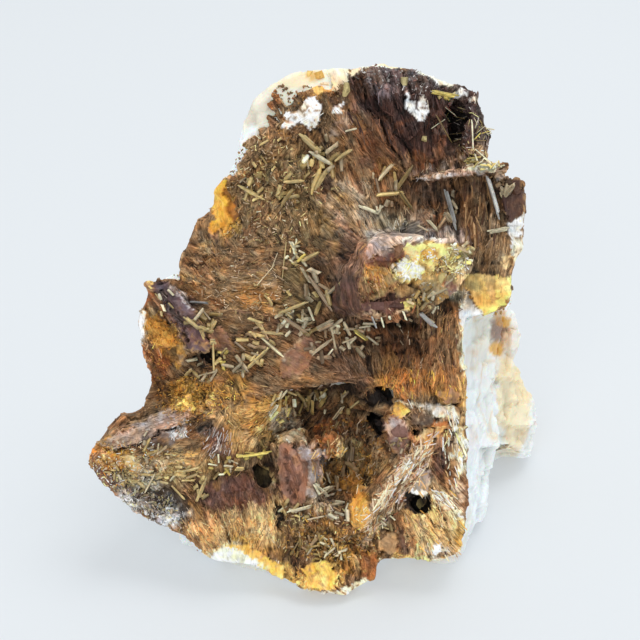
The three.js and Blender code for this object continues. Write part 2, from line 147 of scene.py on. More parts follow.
# [pixel, pixel, direction in degrees (0 to the right, 90 up), reach in pixels, waywardness, length, step height in mm]
FLOW = [
    (250, 165, 75, 30, 0.7, 2, 0.4), (280, 190, 60, 25, 0.7, 2, 0.45), (330, 150, 100, 25, 0.5, 2.4, 0.5),
    (300, 225, 130, 25, 0.5, 2.6, 0.4), (235, 215, 65, 25, 0.4, 2.8, 0.4), (380, 100, 112, 40, 0.1, 9, 0.9),
    (430, 110, 105, 30, 0.1, 8, 0.9), (470, 120, 95, 25, 0.1, 6, 0.8), (360, 200, 128, 30, 0.14, 7, 0.3),
    (330, 230, 140, 22, 0.14, 7, 0.25), (420, 200, 100, 25, 0.1, 8, 0.5), (480, 230, 88, 35, 0.06, 11, 0.8),
    (500, 270, 88, 25, 0.1, 7, 0.5), (240, 280, 172, 35, 0.2, 6, 0.35), (200, 260, 120, 25, 0.4, 3, 0.4),
    (290, 320, 165, 30, 0.2, 6, 0.35), (250, 350, 155, 25, 0.16, 7, 0.3), (300, 370, 145, 30, 0.12, 8, 0.25),
    (340, 320, 120, 25, 0.3, 4, 0.5), (400, 330, 92, 30, 0.08, 8, 0.5), (450, 340, 90, 40, 0.06, 9, 0.5),
    (440, 385, 86, 25, 0.1, 6, 0.4), (380, 385, 110, 20, 0.16, 5, 0.4), (170, 310, 122, 30, 0.2, 4, 0.5),
    (160, 350, 118, 25, 0.2, 5, 0.5), (200, 390, 150, 22, 1, 1.6, 0.5), (150, 430, 18, 30, 0.2, 5, 0.2),
    (110, 450, 20, 30, 0.5, 2.6, 0.5), (130, 490, 150, 30, 0.8, 1.8, 0.6), (225, 430, 65, 22, 0.16, 6, 0.3),
    (268, 425, 172, 18, 0.25, 4, 0.4), (220, 500, 100, 30, 0.14, 7, 0.3), (190, 530, 130, 30, 0.2, 5, 0.3),
    (260, 540, 95, 30, 0.12, 7, 0.4), (330, 560, 95, 30, 0.5, 2.4, 0.6), (300, 490, 100, 25, 0.3, 3, 0.5),
    (330, 430, 60, 20, 0.4, 3.4, 0.7), (360, 450, 80, 20, 0.3, 4, 0.8), (400, 430, 120, 20, 0.3, 3, 0.5),
    (440, 430, 95, 22, 0.14, 5, 0.5), (430, 500, 130, 30, 0.08, 8, 0.5), (445, 540, 125, 25, 0.08, 8, 0.5),
    (390, 545, 100, 25, 0.6, 2.4, 0.6), (395, 480, 54, 15, 0.14, 6, 0.6), (415, 270, 70, 14, 0.6, 2, 0.6),
    (350, 265, 120, 16, 0.14, 7, 0.3), (410, 234, 10, 12, 0.1, 7, 0.2), (390, 305, 165, 14, 0.14, 5, 0.3),
]


def fibre_run(spots):
    """Direction in radians, waywardness, length and step height of the fibres at each spot."""
    marks = np.array(FLOW)
    away = (spots[:, None, 0] - marks[:, 0]) ** 2 + (spots[:, None, 1] - marks[:, 1]) ** 2
    weight = np.exp(-away / (2 * marks[:, 3] ** 2)) + 1e-9
    weight /= weight.sum(1)[:, None]
    doubled = 2 * np.radians(marks[:, 2])
    sway = 0.25 * noise(spots, 26, 60) + 0.15 * noise(spots, 11, 61)
    turn = 0.5 * np.arctan2(weight @ np.sin(doubled), weight @ np.cos(doubled)) + sway
    wild, length, step = (weight @ marks[:, k] for k in (4, 5, 6))
    return turn, wild, length, step


def smoothness(co):
    """How far the fibres are hidden at each point, from 0 to 1."""
    smooth = np.zeros(len(co))
    for (_, _, _, fibrous, *_), near in faces_at(co):
        smooth[near] = 1 - fibrous
    return smooth


class Bundles:
    """The crust's bundles of fibres: each has a place, a run, a length, a width, a height and a shade."""

    NEIGHBOURS = 12
    SLIMNESS = 0.36  # a bundle's width to its length
    THICKNESS = 2.5  # millimetres

    def __init__(self, co, outward, count, seed):
        random = np.random.default_rng(seed)
        reach = fibre_run(pixels(co))[2]
        chance = np.clip(outward[:, 2] + 0.5, 0.02, 1) / reach ** 1.6
        chosen = random.choice(len(co), count, replace=False, p=chance / chance.sum())
        self.place, self.out = co[chosen], outward[chosen]
        spots = pixels(self.place)
        turn, wild, length, step = fibre_run(spots)
        turn += wild * random.normal(0, 1, count)
        along = np.stack([np.cos(turn), np.sin(turn), 0.05 * random.normal(size=count)], 1)
        along *= np.where(random.random(count) < 0.75, 1, -1)[:, None]
        along -= self.out * np.einsum("ij,ij->i", along, self.out)[:, None]
        self.along = along / np.linalg.norm(along, axis=1)[:, None]
        self.side = np.cross(self.out, self.along)
        self.length = length * random.uniform(0.7, 1.3, count)
        self.width = np.clip(self.length * self.SLIMNESS, 0.7, 3)
        self.smooth = smoothness(self.place)
        self.step = step * (1 - 0.9 * self.smooth)
        self.high = np.clip(random.normal(0, 0.6, count), -1.2, 1.2)
        self.tilt = random.uniform(0.1, 1.0, count)
        self.shade = np.exp(random.normal(0, 0.16, count) * (1 - 0.7 * self.smooth))
        kinds = [PALETTE[name] for name in ("dark", "tan", "ochre", "umber", "purple", "beige", "rust")]
        self.cast = np.array(kinds)[random.integers(0, len(kinds), count)]
        self.mix = random.uniform(0, 0.55, count) ** 1.3 * (1 - 0.7 * self.smooth)
        self.tree = KDTree(count)
        for number, place in enumerate(self.place):
            self.tree.insert(place, number)
        self.tree.balance()

    def home(self, points):
        """The number of the bundle that each point belongs to."""
        near = np.array([[n for _, n, _ in self.tree.find_n(p, self.NEIGHBOURS)] for p in points])
        away = points[:, None] - self.place[near]
        u = np.einsum("ijk,ijk->ij", away, self.along[near]) / self.length[near]
        v = np.einsum("ijk,ijk->ij", away, self.side[near]) / self.width[near]
        w = np.einsum("ijk,ijk->ij", away, self.out[near]) / self.THICKNESS
        return near[np.arange(len(points)), np.argmin(u * u + v * v + w * w, axis=1)]

    def grain(self, points, home):
        """Places along and across the fibres of each point's bundle, in millimetres, and a number for the bundle."""
        away = points - self.place[home]
        u = np.einsum("ij,ij->i", away, self.along[home])
        v = np.einsum("ij,ij->i", away, self.side[home])
        return np.stack([u, v, home * 7.31], 1)

    def tinted(self, tint, home):
        """A colour for each point, mixed with its bundle's cast and shade."""
        share = self.mix[home][:, None]
        cast = self.cast[home]
        level = (tint.sum(1) / cast.sum(1))[:, None] ** 0.75
        return (tint * (1 - share) + cast * level * share) * self.shade[home][:, None]


# ---------------------------------------------------------------- colours of the crust

PALETTE = {
    "brown": colour(138, 106, 72), "dark": colour(74, 50, 36), "black": colour(34, 27, 24),
    "purple": colour(88, 58, 50), "tan": colour(164, 130, 92), "beige": colour(190, 168, 140),
    "ochre": colour(204, 148, 66), "gold": colour(224, 172, 78), "orange": colour(216, 136, 44),
    "cream": colour(236, 226, 200), "white": colour(242, 238, 230), "snow": colour(240, 246, 248),
    "ivory": colour(232, 224, 204), "lilac": colour(178, 160, 152), "grey": colour(156, 152, 148),
    "yellow": colour(238, 206, 128), "rust": colour(160, 92, 44), "olive": colour(134, 114, 74),
    "plum": colour(120, 86, 76), "umber": colour(116, 70, 42), "wine": colour(66, 42, 37),
    "khaki": colour(196, 180, 124), "lime": colour(206, 186, 92), "silver": colour(196, 184, 176),
    "straw": colour(238, 194, 116), "maroon": colour(80, 60, 62), "amber": colour(228, 158, 50),
    "dove": colour(156, 140, 128), "wheat": colour(224, 186, 128), "shell": colour(250, 240, 204),
    "slate": colour(104, 92, 90), "rose": colour(138, 98, 78),
}

# [pixel, pixel, half length, half width, turn in degrees, colour, strength]
PATCHES = [
    (290, 200, 80, 70, 0, "olive", 0.6), (340, 170, 40, 40, 0, "tan", 0.35), (250, 150, 34, 26, 0, "tan", 0.4),
    (430, 120, 72, 60, -10, "wine", 1), (384, 92, 46, 36, -5, "wine", 1), (474, 84, 30, 14, -35, "slate", 0.8),
    (410, 110, 40, 40, 0, "black", 0.25), (490, 120, 8, 44, 0, "slate", 0.7), (372, 140, 22, 34, -30, "umber", 0.6),
    (400, 165, 44, 16, 0, "brown", 0.8), (396, 140, 7, 36, -22, "umber", 0.6), (440, 150, 6, 24, -14, "umber", 0.7),
    (472, 115, 24, 44, 0, "wine", 0.8), (395, 76, 58, 12, -8, "slate", 0.8), (450, 92, 26, 10, -30, "slate", 0.8),
    (486, 125, 9, 36, 0, "slate", 0.7), (360, 85, 14, 14, 0, "dark", 0.8), (300, 135, 50, 14, 10, "brown", 0.7),
    (276, 100, 9, 14, 0, "rust", 0.8), (290, 96, 20, 8, 0, "brown", 0.6), (350, 112, 12, 12, 0, "plum", 0.6),
    (360, 215, 70, 26, -45, "beige", 0.85), (400, 218, 50, 12, 10, "beige", 0.8),
    (250, 225, 50, 40, 0, "brown", 0.5), (224, 212, 14, 30, 15, "gold", 0.95), (220, 206, 6, 12, 10, "straw", 0.7),
    (216, 228, 8, 16, 0, "orange", 0.7), (240, 270, 70, 40, 0, "tan", 0.65), (200, 280, 14, 40, -20, "rust", 0.3),
    (205, 250, 14, 14, 0, "brown", 0.6), (262, 300, 34, 18, -10, "ochre", 0.35),
    (300, 296, 36, 40, 0, "olive", 0.55), (320, 300, 22, 40, 0, "dark", 0.45), (450, 190, 60, 16, 0, "wine", 0.6),
    (470, 250, 40, 50, 0, "brown", 0.6), (455, 225, 30, 30, 0, "umber", 0.4), (484, 258, 24, 16, 0, "tan", 0.6),
    (478, 215, 5, 30, 0, "tan", 0.5), (494, 240, 5, 30, 0, "beige", 0.4), (512, 200, 15, 28, 0, "wine", 0.95),
    (519, 232, 6, 20, -8, "white", 0.95), (450, 171, 54, 7, 6, "silver", 0.75), (480, 168, 20, 4, 8, "beige", 0.8),
    (350, 262, 26, 44, 0, "plum", 0.6), (345, 292, 16, 24, 0, "wine", 0.6), (414, 234, 62, 13, 3, "silver", 1),
    (380, 246, 16, 10, 30, "lilac", 0.8), (385, 258, 16, 10, 30, "umber", 0.9), (416, 268, 32, 18, 0, "straw", 1),
    (410, 268, 18, 13, 0, "shell", 1), (440, 250, 24, 9, 0, "gold", 0.8), (455, 268, 18, 18, 0, "olive", 0.7),
    (375, 280, 14, 18, 0, "ochre", 0.8), (445, 290, 16, 10, 0, "beige", 0.7), (392, 303, 34, 10, 5, "purple", 0.95),
    # Next line: the umber ovals at (395, 335) and (420, 345) paint the horn's shadow below it.
    (384, 315, 24, 3, -3, "beige", 0.9), (395, 335, 70, 28, 0, "umber", 0.6), (420, 345, 30, 22, 0, "umber", 0.2),
    (350, 300, 24, 30, 0, "dark", 0.5), (410, 384, 56, 17, 4, "ochre", 0.55), (420, 376, 40, 8, 4, "orange", 0.25),
    (450, 395, 40, 12, 0, "ochre", 0.6), (420, 384, 54, 16, 4, "rust", 0.5), (452, 345, 22, 44, 0, "rust", 0.5),
    (442, 338, 26, 40, 0, "tan", 0.6), (380, 386, 24, 8, 6, "gold", 0.15), (464, 380, 5, 90, 0, "wheat", 0.6),
    (340, 370, 50, 26, -30, "plum", 0.45), (285, 350, 60, 32, -30, "tan", 0.5),
    (270, 375, 40, 20, -30, "brown", 0.5), (300, 334, 40, 10, -30, "rose", 0.5),
    (182, 312, 14, 40, 40, "purple", 0.95), (188, 326, 8, 24, 40, "wine", 0.7), (172, 292, 10, 12, 40, "slate", 0.6),
    (160, 330, 18, 22, 30, "ochre", 0.9), (168, 336, 12, 12, 0, "gold", 0.6), (150, 312, 8, 10, 0, "wheat", 0.6),
    (141, 326, 6, 20, 0, "white", 0.95), (155, 365, 22, 22, 0, "rust", 0.7), (172, 372, 10, 22, 0, "brown", 0.5),
    (190, 398, 36, 22, 0, "gold", 0.8), (178, 404, 14, 8, 0, "wheat", 0.15), (230, 385, 30, 14, 0, "ochre", 0.6),
    (145, 428, 44, 11, 22, "lilac", 0.9), (150, 438, 34, 5, 22, "slate", 0.5), (110, 455, 26, 18, 0, "ochre", 0.8),
    (112, 462, 12, 8, 0, "wheat", 0.7), (122, 462, 12, 9, 0, "gold", 0.7), (96, 452, 8, 8, 0, "orange", 0.8),
    (155, 470, 50, 18, 20, "wheat", 0.6), (150, 500, 50, 20, -35, "grey", 0.75), (140, 496, 30, 8, -35, "dark", 0.2),
    (130, 476, 18, 10, -30, "khaki", 0.8), (150, 504, 24, 6, -35, "silver", 0.6),
    (172, 518, 14, 8, -20, "white", 0.7), (178, 430, 11, 11, 0, "silver", 0.8), (214, 434, 15, 13, 60, "slate", 0.7),
    (222, 446, 12, 10, 0, "lilac", 0.6), (190, 470, 34, 16, 10, "wheat", 0.5), (240, 440, 26, 26, 0, "wheat", 0.6),
    (260, 415, 44, 22, 0, "ochre", 0.7), (225, 410, 30, 14, 0, "wheat", 0.5), (232, 496, 44, 18, 0, "plum", 0.85),
    (246, 486, 24, 10, 0, "purple", 0.6), (220, 528, 44, 16, 10, "wheat", 0.6), (264, 525, 16, 26, 0, "wheat", 0.8),
    (250, 545, 30, 10, -10, "gold", 0.5), (330, 420, 60, 44, 0, "dark", 0.35), (345, 430, 40, 26, 0, "brown", 0.5),
    (350, 470, 32, 30, 0, "ochre", 0.5), (345, 400, 30, 10, 0, "olive", 0.4), (330, 448, 20, 18, 0, "rust", 0.4),
    (262, 476, 15, 17, 0, "dark", 0.9), (290, 472, 16, 34, -8, "plum", 0.95), (314, 470, 12, 26, 0, "lilac", 0.95),
    (290, 535, 30, 24, 0, "olive", 0.4), (398, 434, 14, 18, 0, "lilac", 0.9), (424, 418, 30, 10, 4, "beige", 0.8),
    (434, 438, 14, 14, 0, "orange", 0.6), (420, 422, 14, 9, 0, "dark", 0.7), (445, 460, 14, 44, 0, "tan", 0.7),
    (450, 430, 8, 22, 0, "plum", 0.6), (395, 490, 66, 12, 56, "beige", 0.9), (418, 478, 18, 14, 0, "slate", 0.7),
    (360, 510, 13, 19, 20, "ochre", 1), (435, 515, 36, 44, 20, "wheat", 0.9), (450, 500, 22, 6, 40, "shell", 0.8),
    # Next line: the dark oval at (414, 502) paints shadow in the hole there.
    (452, 535, 16, 18, 0, "straw", 0.5), (414, 502, 15, 11, 0, "dark", 0.95), (390, 540, 24, 16, 0, "tan", 0.8),
    (404, 530, 10, 8, 0, "umber", 0.6), (330, 540, 50, 22, 0, "ochre", 0.4), (350, 560, 30, 14, 0, "gold", 0.5),
    (372, 568, 10, 16, 0, "rust", 0.7), (300, 555, 14, 12, 0, "rust", 0.5), (240, 560, 44, 12, -12, "shell", 1),
    (230, 552, 40, 6, -10, "wheat", 0.6), (288, 574, 24, 10, -20, "straw", 0.9), (322, 578, 26, 13, 10, "straw", 1),
    (322, 570, 18, 5, 10, "gold", 0.6), (457, 452, 9, 38, 0, "shell", 0.9), (276, 430, 18, 18, 0, "wheat", 0.8),
    # Next line: the dark oval at (327, 188) paints shadow beside the crystals there.
    (146, 478, 24, 16, -20, "cream", 0.9), (152, 465, 14, 8, 0, "cream", 0.5), (327, 188, 9, 9, 0, "dark", 0.8),
    (476, 156, 16, 9, 0, "beige", 0.8), (461, 293, 6, 10, 0, "wheat", 0.6), (383, 462, 10, 18, 0, "wheat", 0.7),
    # Next line: the dark ovals at (302, 318) and (316, 272) paint shade between the crystals.
    (302, 318, 40, 26, -20, "dark", 0.4), (316, 272, 14, 18, 0, "dark", 0.5), (272, 502, 10, 8, 0, "wheat", 0.7),
    (462, 512, 8, 22, 0, "shell", 0.7), (439, 128, 9, 9, 0, "slate", 0.6), (327, 85, 6, 6, 0, "wheat", 0.7),
    (445, 266, 12, 12, 0, "yellow", 0.5), (436, 550, 12, 9, 0, "white", 0.9), (415, 562, 44, 8, 0, "straw", 0.8),
    # Next line: the shell oval at (394, 221) paints light over the horn's shaded root.
    (394, 221, 20, 9, 0, "shell", 0.9), (495, 175, 14, 7, 0, "silver", 0.8), (473, 171, 10, 5, 0, "silver", 0.6),
    (145, 484, 14, 12, -20, "cream", 0.6), (132, 504, 12, 10, -30, "snow", 0.7), (464, 347, 5, 26, 0, "shell", 0.8),
    (459, 480, 6, 22, 0, "shell", 0.6), (322, 502, 13, 9, 0, "cream", 0.5), (357, 124, 10, 15, 0, "dark", 0.5),
    # Next line: the dark oval at (309, 275) paints shade between the crystals.
    (309, 275, 13, 14, 0, "dark", 0.5), (196, 282, 14, 10, 0, "wheat", 0.6), (201, 250, 14, 12, 0, "wheat", 0.5),
    (300, 350, 12, 10, 0, "brown", 0.4), (462, 300, 8, 12, 0, "shell", 0.9), (326, 470, 10, 14, 0, "wheat", 0.4),
    # Next line: the straw oval at (266, 436) paints light into a groove.
    (266, 436, 8, 14, 0, "straw", 0.7), (99, 455, 7, 8, 0, "dove", 0.5),
]


# Faces and torn patches with clear edges: outline as pairs of pixels, colour, strength, lift in mm, how fibrous it is
# and, for some, the least height in mm. Where two overlap, the later one counts.
FACES = {
    "gold_flap": ([217, 182, 226, 180, 227, 190, 233, 198, 237, 210, 238, 220, 230, 224, 222, 228, 210, 238, 208, 230,
        215, 220, 212, 208, 210, 196, 213, 188], "amber", 0.95, 0.3, 0.05),
    # Painted shade: the crease in the gold flap is painted darker.
    "gold_flap_crease": ([223, 186, 229, 192, 235, 202, 239, 214, 236, 222, 230, 217, 226, 208, 229, 203, 223, 196],
        "rust", 0.5, -0.4, 0.05),
    "gold_flap_gleam": ([213, 196, 218, 192, 222, 200, 218, 212, 222, 220, 216, 228, 212, 232, 216, 220, 212, 208],
        "gold", 0.8, 0.1, 0.05),
    "brow_rust": ([303, 73, 312, 75, 320, 79, 327, 74, 328, 84, 323, 92, 318, 97, 312, 90, 306, 81], "gold", 0.8, 0.2,
        0.1),
    "dome_end": ([318, 56, 346, 56, 348, 72, 345, 84, 336, 91, 326, 88, 328, 76, 320, 80], "cream", 0.95, 0, 0),
    "torn_white": ([283, 116, 288, 112, 298, 111, 302, 104, 306, 98, 316, 97, 321, 104, 321, 116, 318, 124, 311, 131,
        305, 124, 300, 122, 294, 123, 288, 130, 283, 129], "white", 1, 0.4, 0.1),
    "torn_bit": ([332, 107, 345, 103, 343, 111, 336, 117, 332, 113], "white", 1, 0.4, 0.1),
    "grey_film": ([330, 123, 344, 116, 353, 120, 348, 131, 338, 138, 331, 137], "lilac", 0.35, 0.1, 0.7),
    "streak_rust": ([352, 108, 360, 112, 372, 136, 383, 164, 376, 172, 368, 150, 360, 130], "umber", 0.8, 0.2, 0.9),
    "streak_honey": ([414, 146, 424, 152, 425, 170, 418, 173, 413, 160], "umber", 0.8, 0.1, 0.9),
    "crest_film": ([366, 72, 382, 67, 398, 68, 416, 74, 404, 84, 396, 98, 380, 100, 368, 92], "slate", 0.7, 0, 0.9),
    "white_w": ([403, 85, 407, 88, 410, 98, 416, 107, 419, 107, 419, 100, 422, 89, 425, 98, 429, 106, 427, 113,
        423, 122, 418, 120, 413, 113, 408, 110, 405, 104, 406, 95], "white", 1, 0.2, 0.2),
    "claw": ([454, 95, 461, 87, 466, 90, 470, 97, 478, 95, 484, 108, 480, 108, 474, 99, 470, 105, 467, 98, 460, 97,
        453, 103], "white", 0.95, 0.3, 0.2),
    "pocket_wall": ([452, 108, 468, 104, 470, 136, 456, 140, 450, 124], "slate", 0.9, 0, 0.8),
    "pocket_rim": ([471, 104, 480, 104, 486, 124, 490, 138, 484, 146, 472, 140], "slate", 0.8, 0, 0.6),
    "ledge_top": ([410, 178, 426, 170, 442, 163, 458, 160, 472, 165, 470, 170, 454, 173, 438, 176, 424, 179], "brown",
        0.7, -0.3, 0.8),
    "ledge_lip": ([412, 180, 426, 177, 446, 174, 468, 170, 484, 168, 500, 167, 496, 170, 480, 173, 460, 176, 440, 179,
        424, 181], "grey", 0.8, 0.3, 0.6),
    "ledge_end": ([464, 169, 474, 162, 490, 161, 503, 166, 496, 171, 480, 173], "cream", 0.7, 0.1, 0.6),
    "right_slab": ([500, 198, 504, 188, 510, 182, 518, 179, 524, 198, 525, 212, 510, 222, 506, 210, 502, 204], "wine",
        1, 0.6, 0.1),
    "right_sliver": ([508, 224, 525, 213, 524, 226, 517, 240, 511, 250, 509, 236], "white", 1, 0.2, 0.1),
    "gold_patch": ([463, 276, 480, 274, 500, 276, 514, 274, 512, 292, 506, 304, 492, 313, 486, 320, 480, 310,
        472, 298, 466, 290], "straw", 1, 0.2, 0.05),
    # Painted light: the top of the gold patch is painted a lighter yellow against the shade that falls on it.
    "gold_top_painted_light": ([463, 276, 480, 274, 500, 276, 514, 274, 512, 286, 492, 290, 472, 292, 466, 288], "yellow", 0.6, 0,
        0.05),
    "gold_low": ([480, 294, 511, 292, 506, 304, 492, 313, 486, 320, 480, 310], "gold", 0.5, 0.2, 0.05),
    "wall_tip": ([463, 287, 467, 293, 473, 301, 480, 312, 486, 322, 470, 326, 461, 326, 460, 296], "snow", 1, -0.3,
        0),
    # The horn's roof is partly its own lilac grey and partly painted light from above.
    "horn_roof": ([402, 235, 420, 229, 440, 228, 460, 231, 472, 238, 471, 243, 452, 240, 440, 239, 424, 240, 408, 241,
        400, 243, 388, 248, 380, 254, 367, 260, 366, 250, 369, 241, 380, 232, 392, 228, 404, 227], "lilac", 0.95, 0.4,
        0.6, 1),
    "horn_roof_root": ([367, 258, 368, 248, 371, 242, 381, 234, 389, 234, 387, 246, 380, 253, 369, 258], "slate",
        0.55, 0.4, 0.6, 1),
    "horn_roof_gleam": ([403, 236, 420, 230, 440, 229, 458, 232, 470, 238, 470, 242, 452, 239, 440, 238, 424, 239,
        408, 240], "silver", 0.9, 0.4, 0.6, 1),
    "horn_wedge": ([365, 264, 380, 254, 394, 248, 406, 241, 409, 248, 404, 256, 398, 262, 388, 266, 368, 267],
        "purple", 1, 0.6, 0.1, 5),
    "horn_wedge_edge": ([365, 265, 394, 258, 404, 257, 398, 262, 388, 266, 368, 268], "rust", 0.3, 0.1, 0.1, 5),
    "horn_wedge_gleam": ([380, 255, 394, 249, 402, 245, 403, 248, 394, 252, 382, 257], "lilac", 0.6, 0.1, 0.1, 5),
    "horn_honey": ([362, 270, 376, 268, 388, 268, 394, 276, 396, 284, 388, 286, 384, 296, 372, 300, 362, 300,
        358, 288], "olive", 0.9, 0.8, 0.4, 5),
    "horn_amber": ([366, 272, 378, 269, 384, 276, 380, 284, 370, 284], "ochre", 0.5, 0.4, 0.3, 5),
    # Painted light: this dip is painted tan, lighter than the honey round it, against its shade.
    "horn_honey_dip_painted_light": ([362, 282, 372, 280, 376, 292, 368, 299, 361, 298], "tan", 0.8, -0.5, 0.5, 5),
    "horn_gold": ([406, 244, 420, 243, 444, 242, 446, 252, 438, 260, 428, 268, 420, 268, 410, 260, 405, 252], "straw",
        1, 0.4, 0, 5),
    "horn_glow": ([398, 268, 412, 256, 432, 250, 440, 260, 430, 276, 414, 288, 400, 284, 392, 276], "yellow", 0.7,
        0.2, 0.2, 5),
    "horn_glow_low": ([424, 246, 434, 246, 436, 256, 428, 262, 420, 256], "gold", 0.7, -0.3, 0.1, 5),
    "horn_star": ([393, 264, 400, 263, 404, 257, 409, 262, 418, 257, 418, 264, 427, 268, 421, 272, 424, 279, 415, 277,
        408, 283, 405, 276, 396, 276, 401, 270], "shell", 1, 0.9, 0.1, 5),
    "horn_blush": ([404, 246, 414, 246, 420, 254, 412, 260, 404, 256], "wheat", 0.8, 0.3, 0, 5),
    # Painted light: the hollow arch is painted a light wheat against its shade.
    "horn_arch": ([394, 287, 408, 283, 420, 286, 421, 294, 408, 298, 396, 297], "wheat", 0.8, -0.7, 0.2, 5),
    "horn_right": ([446, 244, 472, 244, 476, 248, 466, 264, 460, 276, 450, 268, 444, 256], "khaki", 0.9, 0.3, 0.1, 5),
    "horn_low": ([420, 284, 440, 272, 458, 276, 456, 290, 440, 304, 424, 302], "olive", 0.8, 0.2, 0.2, 5),
    "horn_purple": ([360, 302, 380, 302, 398, 299, 402, 306, 388, 314, 372, 314, 361, 311], "purple", 1, 0.6, 0.2, 5),
    "horn_rim": ([366, 311, 378, 315, 390, 315, 402, 309, 412, 303, 414, 306, 402, 314, 388, 319, 372, 317], "beige",
        1, 0.6, 0.1, 4),
    "horn_yellow": ([400, 302, 409, 301, 418, 303, 413, 309, 404, 309], "straw", 0.9, 0.4, 0, 4),
    "horn_brown": ([442, 282, 460, 284, 462, 296, 450, 298], "plum", 0.9, 0.3, 0.3, 4),
    "horn_back": ([336, 284, 350, 278, 360, 288, 363, 310, 352, 318, 338, 318, 331, 300], "purple", 0.85, 0.2, 0.6),
    "slab": ([149, 285, 157, 281, 168, 282, 178, 292, 190, 306, 196, 314, 204, 330, 210, 344, 209, 351, 196, 352,
        188, 350, 183, 340, 177, 326, 168, 314, 160, 298, 152, 291], "maroon", 1, 0.7, 0.15),
    "slab_hairs": ([168, 283, 176, 286, 186, 296, 194, 310, 192, 312, 182, 300, 174, 292], "silver", 0.7, 0.2, 0.9),
    "slab_streak": ([158, 287, 164, 292, 176, 310, 188, 334, 190, 344, 180, 328, 168, 308], "slate", 0.7, 0.1, 0.9),
    "slab_tip": ([148, 284, 149, 277, 156, 282, 151, 289], "straw", 0.9, 0.3, 0.1),
    "slab_side": ([146, 287, 156, 297, 168, 311, 162, 312, 154, 307, 144, 309], "rust", 0.8, 0.1, 0.6),
    "left_rim": ([142, 310, 146, 312, 144, 328, 146, 338, 140, 337, 137, 320], "white", 1, 0.1, 0.1),
    "left_sponge": ([145, 312, 166, 320, 176, 328, 184, 344, 184, 358, 180, 372, 164, 354, 150, 336, 146, 324],
        "ochre", 0.85, 0, 0.3),
    "left_low": ([146, 358, 156, 366, 170, 386, 166, 404, 150, 402, 152, 380], "brown", 0.7, 0, 0.7),
    "slab_shadow": ([194, 355, 210, 352, 215, 366, 202, 372, 195, 366], "black", 0.9, -1, 0.3),
    "rose_face": ([210, 331, 220, 326, 230, 334, 235, 352, 218, 350, 210, 340], "rose", 0.9, 0.4, 0.1),
    "red_face": ([278, 360, 305, 334, 317, 344, 311, 360, 302, 376, 283, 377], "rose", 0.85, 0.3, 0.15),
    "red_scratch": ([278, 361, 304, 333, 306, 334, 280, 364], "beige", 0.7, 0.2, 0.1),
    "moss_hollow": ([282, 266, 294, 266, 310, 280, 322, 300, 308, 326, 290, 324, 281, 300], "olive", 0.55, -0.5, 0.8),
    "tongue": ([97, 444, 116, 436, 132, 430, 150, 420, 168, 414, 192, 409, 188, 416, 168, 426, 154, 432, 144, 440,
        132, 446, 112, 449], "dove", 0.8, 0.3, 0.5),
    "tongue_root": ([153, 421, 168, 415, 188, 410, 185, 416, 168, 425, 157, 429], "umber", 0.35, 0.3, 0.5),
    # Painted shadow: the crack in the tongue is painted dark.
    "tongue_crack_shadow": ([106, 450, 132, 447, 144, 441, 156, 433, 174, 425, 175, 427, 158, 436, 146, 443, 134, 449,
        108, 453], "dark", 0.9, -0.8, 0.3),
    "grey_face": ([146, 441, 170, 429, 177, 441, 164, 452, 152, 454], "slate", 0.7, 0.2, 0.3),
    "silver_star": ([171, 430, 176, 425, 183, 427, 187, 433, 183, 439, 176, 440, 171, 436], "white", 0.8, 0.1, 0.9),
    "tuft": ([204, 430, 216, 426, 226, 436, 236, 456, 228, 460, 218, 456, 211, 448], "plum", 0.9, 0.2, 1),
    "tip_orange": ([86, 448, 96, 446, 93, 460, 88, 464], "orange", 0.5, 0.1, 0.2),
    "peach": ([122, 456, 137, 454, 145, 478, 134, 477, 126, 468], "wheat", 0.8, 0.3, 0.1),
    "low_orange": ([106, 452, 120, 456, 126, 466, 116, 472, 108, 464], "orange", 0.7, 0.1, 0.2),
    "low_edge": ([92, 455, 106, 470, 120, 486, 110, 489, 95, 475], "plum", 0.8, 0, 0.6),
    "night": ([150, 492, 164, 486, 184, 494, 192, 508, 178, 515, 162, 512, 152, 505], "black", 0.75, -0.2, 0.3),
    "frost": ([158, 516, 168, 511, 179, 515, 175, 524, 160, 525], "snow", 0.6, 0.3, 0.2),
    "low_purple": ([204, 486, 220, 475, 248, 472, 252, 488, 264, 494, 266, 508, 240, 512, 212, 508, 200, 500],
        "purple", 0.8, 0.4, 0.5),
    "low_red": ([222, 494, 244, 490, 262, 498, 260, 508, 236, 511, 220, 508], "umber", 0.6, 0.1, 0.7),
    "pale_low": ([250, 500, 266, 510, 276, 520, 274, 548, 252, 552, 244, 530], "wheat", 0.7, 0.1, 0.8),
    "foot_cream": ([208, 556, 224, 545, 240, 552, 251, 557, 257, 568, 232, 569, 214, 566], "shell", 1, 0.2, 0.05),
    "foot_gold": ([224, 545, 244, 545, 264, 555, 284, 568, 284, 578, 266, 573, 252, 561, 238, 551], "gold", 0.95, 0.4,
        0.1),
    "fin_face": ([278, 446, 286, 442, 296, 450, 308, 464, 308, 476, 306, 500, 294, 505, 284, 500, 281, 480, 278, 460],
        "rose", 1, 0.5, 0.05),
    "fin_side": ([296, 449, 324, 449, 327, 456, 321, 468, 319, 482, 320, 494, 310, 499, 306, 494, 308, 476, 308, 464,
        300, 454], "dove", 1, 0.8, 0.1),
    "fin_side_top": ([299, 451, 322, 451, 317, 460, 308, 463, 302, 456], "plum", 0.5, 0.8, 0.1),
    "fin_gleam": ([318, 452, 325, 452, 325, 459, 319, 468, 317, 480, 314, 492, 312, 490, 315, 472], "lilac", 0.8, 0.2,
        0.2),
    "fin_red": ([284, 448, 293, 456, 300, 470, 302, 490, 294, 498, 288, 484, 284, 466], "plum", 0.5, 0, 0.4),
    "vug_orange": ([312, 426, 334, 416, 344, 432, 330, 444, 316, 440], "rust", 0.7, 0.2, 0.6),
